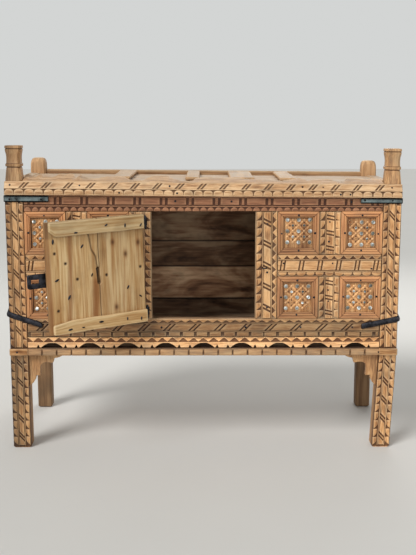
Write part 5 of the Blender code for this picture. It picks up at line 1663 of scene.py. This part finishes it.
def doorMarks(x, z):                # depth of the hollow, relief and stain at a place on the inner face
    dip = 0.0005 + 0.0005 * noise.noise(Vector((x * 40, z * 6, 0.0)))
    relief, stained = 1.0, 0.0
    split = awayFrom(door["split"], x, z) / 0.0026
    slit = awayFrom(door["slit"], x, z) / 0.0050
    # the split, the slit and the nail holes lose relief: painted shade in the openings
    for away, depth, power in ((split, 0.0022, 2), (slit, 0.009, 4)):
        share = math.exp(-away ** power) if away < 3 else 0.0
        dip += depth * share
        relief -= share if power > 2 else 0.70 * share
    for spotX, spotZ in door["holes"]:
        away = math.hypot(x - spotX, z - spotZ) / 0.0046
        share = math.exp(-away ** 4) if away < 2 else 0.0
        dip += 0.003 * share
        relief -= share
    for spotX, spotZ in door["knots"]:
        away = math.hypot((x - spotX) / 0.0048, (z - spotZ) / 0.0075)
        share = math.exp(-away ** 2) if away < 3 else 0.0
        relief -= 0.70 * share
        stained += 0.6 * math.exp(-(0.6 * away) ** 2)
    wander = 0.003 * noise.noise(Vector((z * 14, 3.3, 1.0)))
    streak = awayFrom(door["streak"], x + wander, z) / 0.0080
    stain = awayFrom(door["stain"], x + wander, z) / 0.0130
    relief -= 0.06 * math.exp(-streak ** 4) + 0.12 * math.exp(-stain ** 2)
    stained += 0.55 * math.exp(-streak ** 4) + 0.80 * math.exp(-stain ** 2)
    # darker and paler bands along the planks
    band = noise.noise(Vector((x * 55 + 2 * wander, z * 3.5, 5.0)))
    stained += 0.30 * max(0.0, band)
    if x < door["seam"]:                # the hinge plank is browner, with fine streaks
        stained += 0.10 + 0.45 * max(0.0, noise.noise(Vector((x * 120 + z * 9, z * 5, 2.0))))
    wane = (x - door["half"] + door["wane"] + wander) / door["wane"]
    if wane > 0:
        dip += 0.0065 * min(wane, 1.0) ** 1.4
        relief -= 0.26 * min(1.0, 2 * wane)
        stained += 0.60 * min(1.0, 2 * wane)
    # painted shadow under the top ledge
    relief -= 0.30 * math.exp(-(max(0.0, door["ledgeFoot"] - z) / 0.006) ** 2)
    return dip, max(relief, 0.0), min(stained, 1.0)


def plank(name, left, right):
    columns = round((right - left) / door["cell"])
    rows = round((door["high"] - door["low"]) / door["cell"])
    offset = grainOffset(name)
    loops = []
    for row in range(rows + 1):
        z = door["low"] + (door["high"] - door["low"]) * row / rows
        atEnd = row in (0, rows)
        seamX = 0.0009 * noise.noise(Vector((z * 16, 9.0, 0.0)))
        front, back = [], []
        for column in range(columns + 1):
            x = left + (right - left) * column / columns
            if abs(x - door["seam"]) < 0.01:
                x += seamX
            dip, relief, stained = doorMarks(x, z)
            atSide = column in (0, columns)
            edgeOn = 1.0 if (atSide or atEnd) else 0.0
            dip += 0.0014 * edgeOn
            if atSide:                  # the sawn sides are browner, and dimmed with painted shade
                relief, stained = 0.65, 0.8
            front.append(((x, door["face"] - dip, z), relief, edgeOn * 0.4 - stained))
            back.append(((x, door["outer"] + 0.0004 + 0.0012 * edgeOn, z), 0.65 if atSide else 1.0,
                -0.7 if atSide else edgeOn * 0.2))
        loops.append(front + list(reversed(back)))
    shell = newShell()
    addLoops(shell, loops, "z", offset)
    return shell


for name, left, right in (("door_plank_hinge", -door["half"], door["seam"] - door["seamGap"] / 2),
                          ("door_plank_free", door["seam"] + door["seamGap"] / 2, door["half"])):
    finishShell("pale_" + name, plank(name, left, right), paleDoorWood, [name], "door",
        door["tone"][name], 40)
ledge = {
    "taperFrom": 0.085, "taper": 0.010, "chamferFrom": 0.128, "chamfer": 0.016,
    "tone": {"door_ledge_top": 0.08, "door_ledge_bottom": 0.55},
}
for name in ("door_ledge_top", "door_ledge_bottom"):
    low = Vector((-door["half"], 0.0183, 0.701 if name == "door_ledge_top" else door["low"]))
    high = Vector((0.1475, 0.0303, door["high"] if name == "door_ledge_top" else 0.4555))
    shell = newShell()
    wornBoard(shell, low, high, "x", 0.0022, 0.006, 0.012, 0.0014, offset=grainOffset(name))
    for index, point in enumerate(shell["points"]):
        # its lower corner is cut off at the free end
        if name == "door_ledge_top" and point.x > ledge["chamferFrom"]:
            cut = ledge["chamfer"] * (point.x - ledge["chamferFrom"]) / (high.x - ledge["chamferFrom"])
            point.z += cut * (high.z - point.z) / (high.z - low.z)
        if name == "door_ledge_bottom" and point.x > ledge["taperFrom"]:
            cut = ledge["taper"] * (point.x - ledge["taperFrom"]) / (high.x - ledge["taperFrom"])
            point.z -= cut * (point.z - low.z) / (high.z - low.z)
    wobble(shell, 0.0007, 0.03)
    for point in shell["points"]:
        point.y = min(max(point.y, low.y), high.y)
    finishShell("pale_" + name, shell, paleDoorWood, [name], "door", ledge["tone"][name],
        40)
print("door planked")

# Nails: square hammered heads on the front, and clenched ends on the door
nails = {
    "radius": 0.0032, "rise": 0.0013, "sides": 7, "clench": (0.0072, 0.0027), "clenchRise": 0.0018,
    "slope": (-0.582, -0.372, -0.101, 0.298, 0.360, 0.567), "lip": (-0.253, -0.079, 0.413, 0.442),
    "base": (-0.577, 0.541), "frieze": (-0.085, 0.085, 0.448), "straps": ((-0.585, -0.49), (0.488, 0.572)),
    # on the door: across, up, and the lie of the clenched end in degrees
    "clenched": ((0.1272, 0.5750, 25), (-0.0984, 0.5289, 60), (-0.1390, 0.4968, -35), (0.0443, 0.6667, 50),
                 (0.1331, 0.6876, 85),
                 (0.0169, 0.5791, 70), (0.0918, 0.5210, 60)),
    "onLedges": ((-0.0861, 0.4354, 90), (-0.1328, 0.4302, 80), (-0.0907, 0.7168, 85), (-0.1428, 0.7136, 55),
                 (0.0664, 0.7093, 0), (0.0577, 0.4293, 0),
                 (0.0987, 0.4283, 10), (-0.030, 0.7230, 30), (0.000, 0.4380, 0)),
}
spots, turns = [], []


def addNail(x, y, z, tilt=0.0):
    spots.append(Vector((x, y, z)))
    turns.append((tilt, 6.28 * spread(f"{x:.4f}{z:.4f}"), 0))


for name in frameNames:
    low, high = nodeBox(name)
    middle = (low + high) / 2
    inset = 0.0120
    for x, z in ((middle.x, low.z + inset), (middle.x, high.z - inset), (low.x + inset, middle.z),
            (high.x - inset, middle.z)):
        shift = 0.006 * (spread(f"{name}{x:.3f}{z:.3f}") - 0.5)
        addNail(x + (shift if x == middle.x else 0), 0.0046, z + (shift if z == middle.z else 0))
for side in (-1, 1):
    for x in (0.245, 0.395):
        addNail(side * x, 0.0022, 0.588)
    for z in (0.470, 0.505, 0.655, 0.715):
        addNail(side * (0.384 + 0.004 * (spread(z) - 0.5)), 0.0022, z)
    for z in (0.450, 0.560, 0.710):
        addNail(side * 0.195, 0.0022, z)
    for x in (0.13, 0.30, 0.46):
        addNail(side * x, 0.0022, 0.388)
addNail(0.514, 0.0022, 0.571)
bandMiddle = (bandLow + bandHigh) / 2 + bandOut * topRail["bandGround"]
for x in nails["slope"]:
    addNail(x, bandMiddle.y, bandMiddle.z, -slopeTilt)
for x in nails["lip"]:
    addNail(x, topRail["lipFront"] + 0.0002, 0.8030)
for x in nails["base"]:
    addNail(x, -0.0117, 0.312)
for x in nails["frieze"]:
    addNail(x, 0.0022, 0.778)
for side, places in zip(("left", "right"), nails["straps"]):
    low, high = levelBox(f"corner_strap_{side}")
    for x in places:
        addNail(x, low.y + 0.0002, (low.z + high.z) / 2)
unit = reliefUnit("nail", circleOutline(nails["radius"], nails["sides"]), nails["rise"], 0.0007, 0.0003)
mesh = scatterMesh(unit, spots, turns, 0.18, blackIron)
finishPiece("hammered_nail_heads", mesh, blackIron, smooth=40)
dropUnit(unit)
spots, turns = [], []
for y, group in ((door["face"] - 0.0006, nails["clenched"]), (0.0299, nails["onLedges"])):
    for x, z, lie in group:
        spots.append(Vector((x, y, z)))
        turns.append((0, -math.radians(lie), math.pi))
unit = reliefUnit("clench", leafOutline(*nails["clench"]), nails["clenchRise"], 0.0006, 0.0003)
mesh = scatterMesh(unit, spots, turns, 0.25, blackIron)
finishPiece("clenched_door_nails", mesh, blackIron, body="door", smooth=40)
dropUnit(unit)
print("nails driven")

# Stage, light and camera
stage = {"floor": "#D9D7D2", "sky": "#DDDFDE", "skyStrength": 0.45, "seenStrength": 0.9, "floorSize": 30.0}


def addLamp(name, place, target, size, power, spreading=180, colour="#FFFFFF"):
    lamp = bpy.data.lights.new(name, "AREA")
    lamp.shape = "DISK"
    lamp.size = size
    lamp.energy = power
    lamp.spread = math.radians(spreading)
    lamp.color = linear(colour)[:3]
    holder = bpy.data.objects.new(name, lamp)
    holder.location = place
    holder.rotation_euler = (Vector(target) - Vector(place)).to_track_quat("-Z", "Y").to_euler()
    bpy.context.scene.collection.objects.link(holder)


def addSun(name, towards, width, strength):         # an even, soft window light over the whole floor
    lamp = bpy.data.lights.new(name, "SUN")
    lamp.angle = math.radians(width)
    lamp.energy = strength
    holder = bpy.data.objects.new(name, lamp)
    holder.location = towards
    holder.rotation_euler = (-Vector(towards)).to_track_quat("-Z", "Y").to_euler()
    bpy.context.scene.collection.objects.link(holder)


def paleFloor():
    made = bpy.data.materials.new("matt_pale_floor")
    made.use_nodes = True
    tree = made.node_tree
    shader = tree.nodes["Principled BSDF"]
    place = addNode(tree, "ShaderNodeTexCoord").outputs["Object"]
    faint = addNode(tree, "ShaderNodeTexNoise", None, {"Vector": place, "Scale": 1.6, "Detail": 4.0})
    ramp = addNode(tree, "ShaderNodeValToRGB", None, {"Fac": faint.outputs["Fac"]})
    ramp.color_ramp.elements[0].color = linear("#D2D0CB")
    ramp.color_ramp.elements[1].color = linear(stage["floor"])
    tree.links.new(ramp.outputs["Color"], shader.inputs["Base Color"])
    shader.inputs["Roughness"].default_value = 0.85
    half = stage["floorSize"] / 2
    mesh = bpy.data.meshes.new("floor")
    mesh.from_pydata([(-half, -half, 0), (half, -half, 0), (half, half, 0), (-half, half, 0)], [],
        [(0, 1, 2, 3)])
    mesh.materials.append(made)
    floor = bpy.data.objects.new("floor", mesh)
    bpy.context.scene.collection.objects.link(floor)


paleFloor()
world = bpy.data.worlds.new("soft_room")
bpy.context.scene.world = world
world.use_nodes = True
background = world.node_tree.nodes["Background"]
background.inputs["Color"].default_value = linear(stage["sky"])
rays = addNode(world.node_tree, "ShaderNodeLightPath").outputs
mirrored = addNode(world.node_tree, "ShaderNodeMath", {"operation": "MAXIMUM"}, {
    0: rays["Is Glossy Ray"], 1: rays["Is Transmission Ray"],
}).outputs[0]
seen = addNode(world.node_tree, "ShaderNodeMath", {"operation": "MAXIMUM"},
    {0: rays["Is Camera Ray"], 1: mirrored}).outputs[0]
strength = addNode(world.node_tree, "ShaderNodeMapRange", None, {
    "Value": seen, 3: stage["skyStrength"], 4: stage["seenStrength"],
})
world.node_tree.links.new(strength.outputs["Result"], background.inputs["Strength"])
addSun("key", (-1.7, -2.1, 2.4), 25, 2.3)
addLamp("fill", (0.7, -3.5, 1.0), (0, 0, 0.5), 2.4, 5.7, 70)
addLamp("behind", (0.6, 2.6, 2.4), (0, 0, 0.6), 2.4, 35)

cameraFit = {"focal": 950, "imageHeight": 555, "place": (0.005, -2.867, 1.041), "turn": (80.18, 0.03, -0.18)}
lens = bpy.data.cameras.new("camera")
lens.sensor_width = 36
lens.lens = cameraFit["focal"] / cameraFit["imageHeight"] * lens.sensor_width
camera = bpy.data.objects.new("camera", lens)
camera.location = Vector(cameraFit["place"]) + Vector((0, frontFace, 0))
camera.rotation_euler = [math.radians(angle) for angle in cameraFit["turn"]]
bpy.context.scene.collection.objects.link(camera)
bpy.context.scene.camera = camera
bpy.context.scene.view_settings.view_transform = "Standard"
print("stage, light and camera set")

bpy.context.view_layer.update()
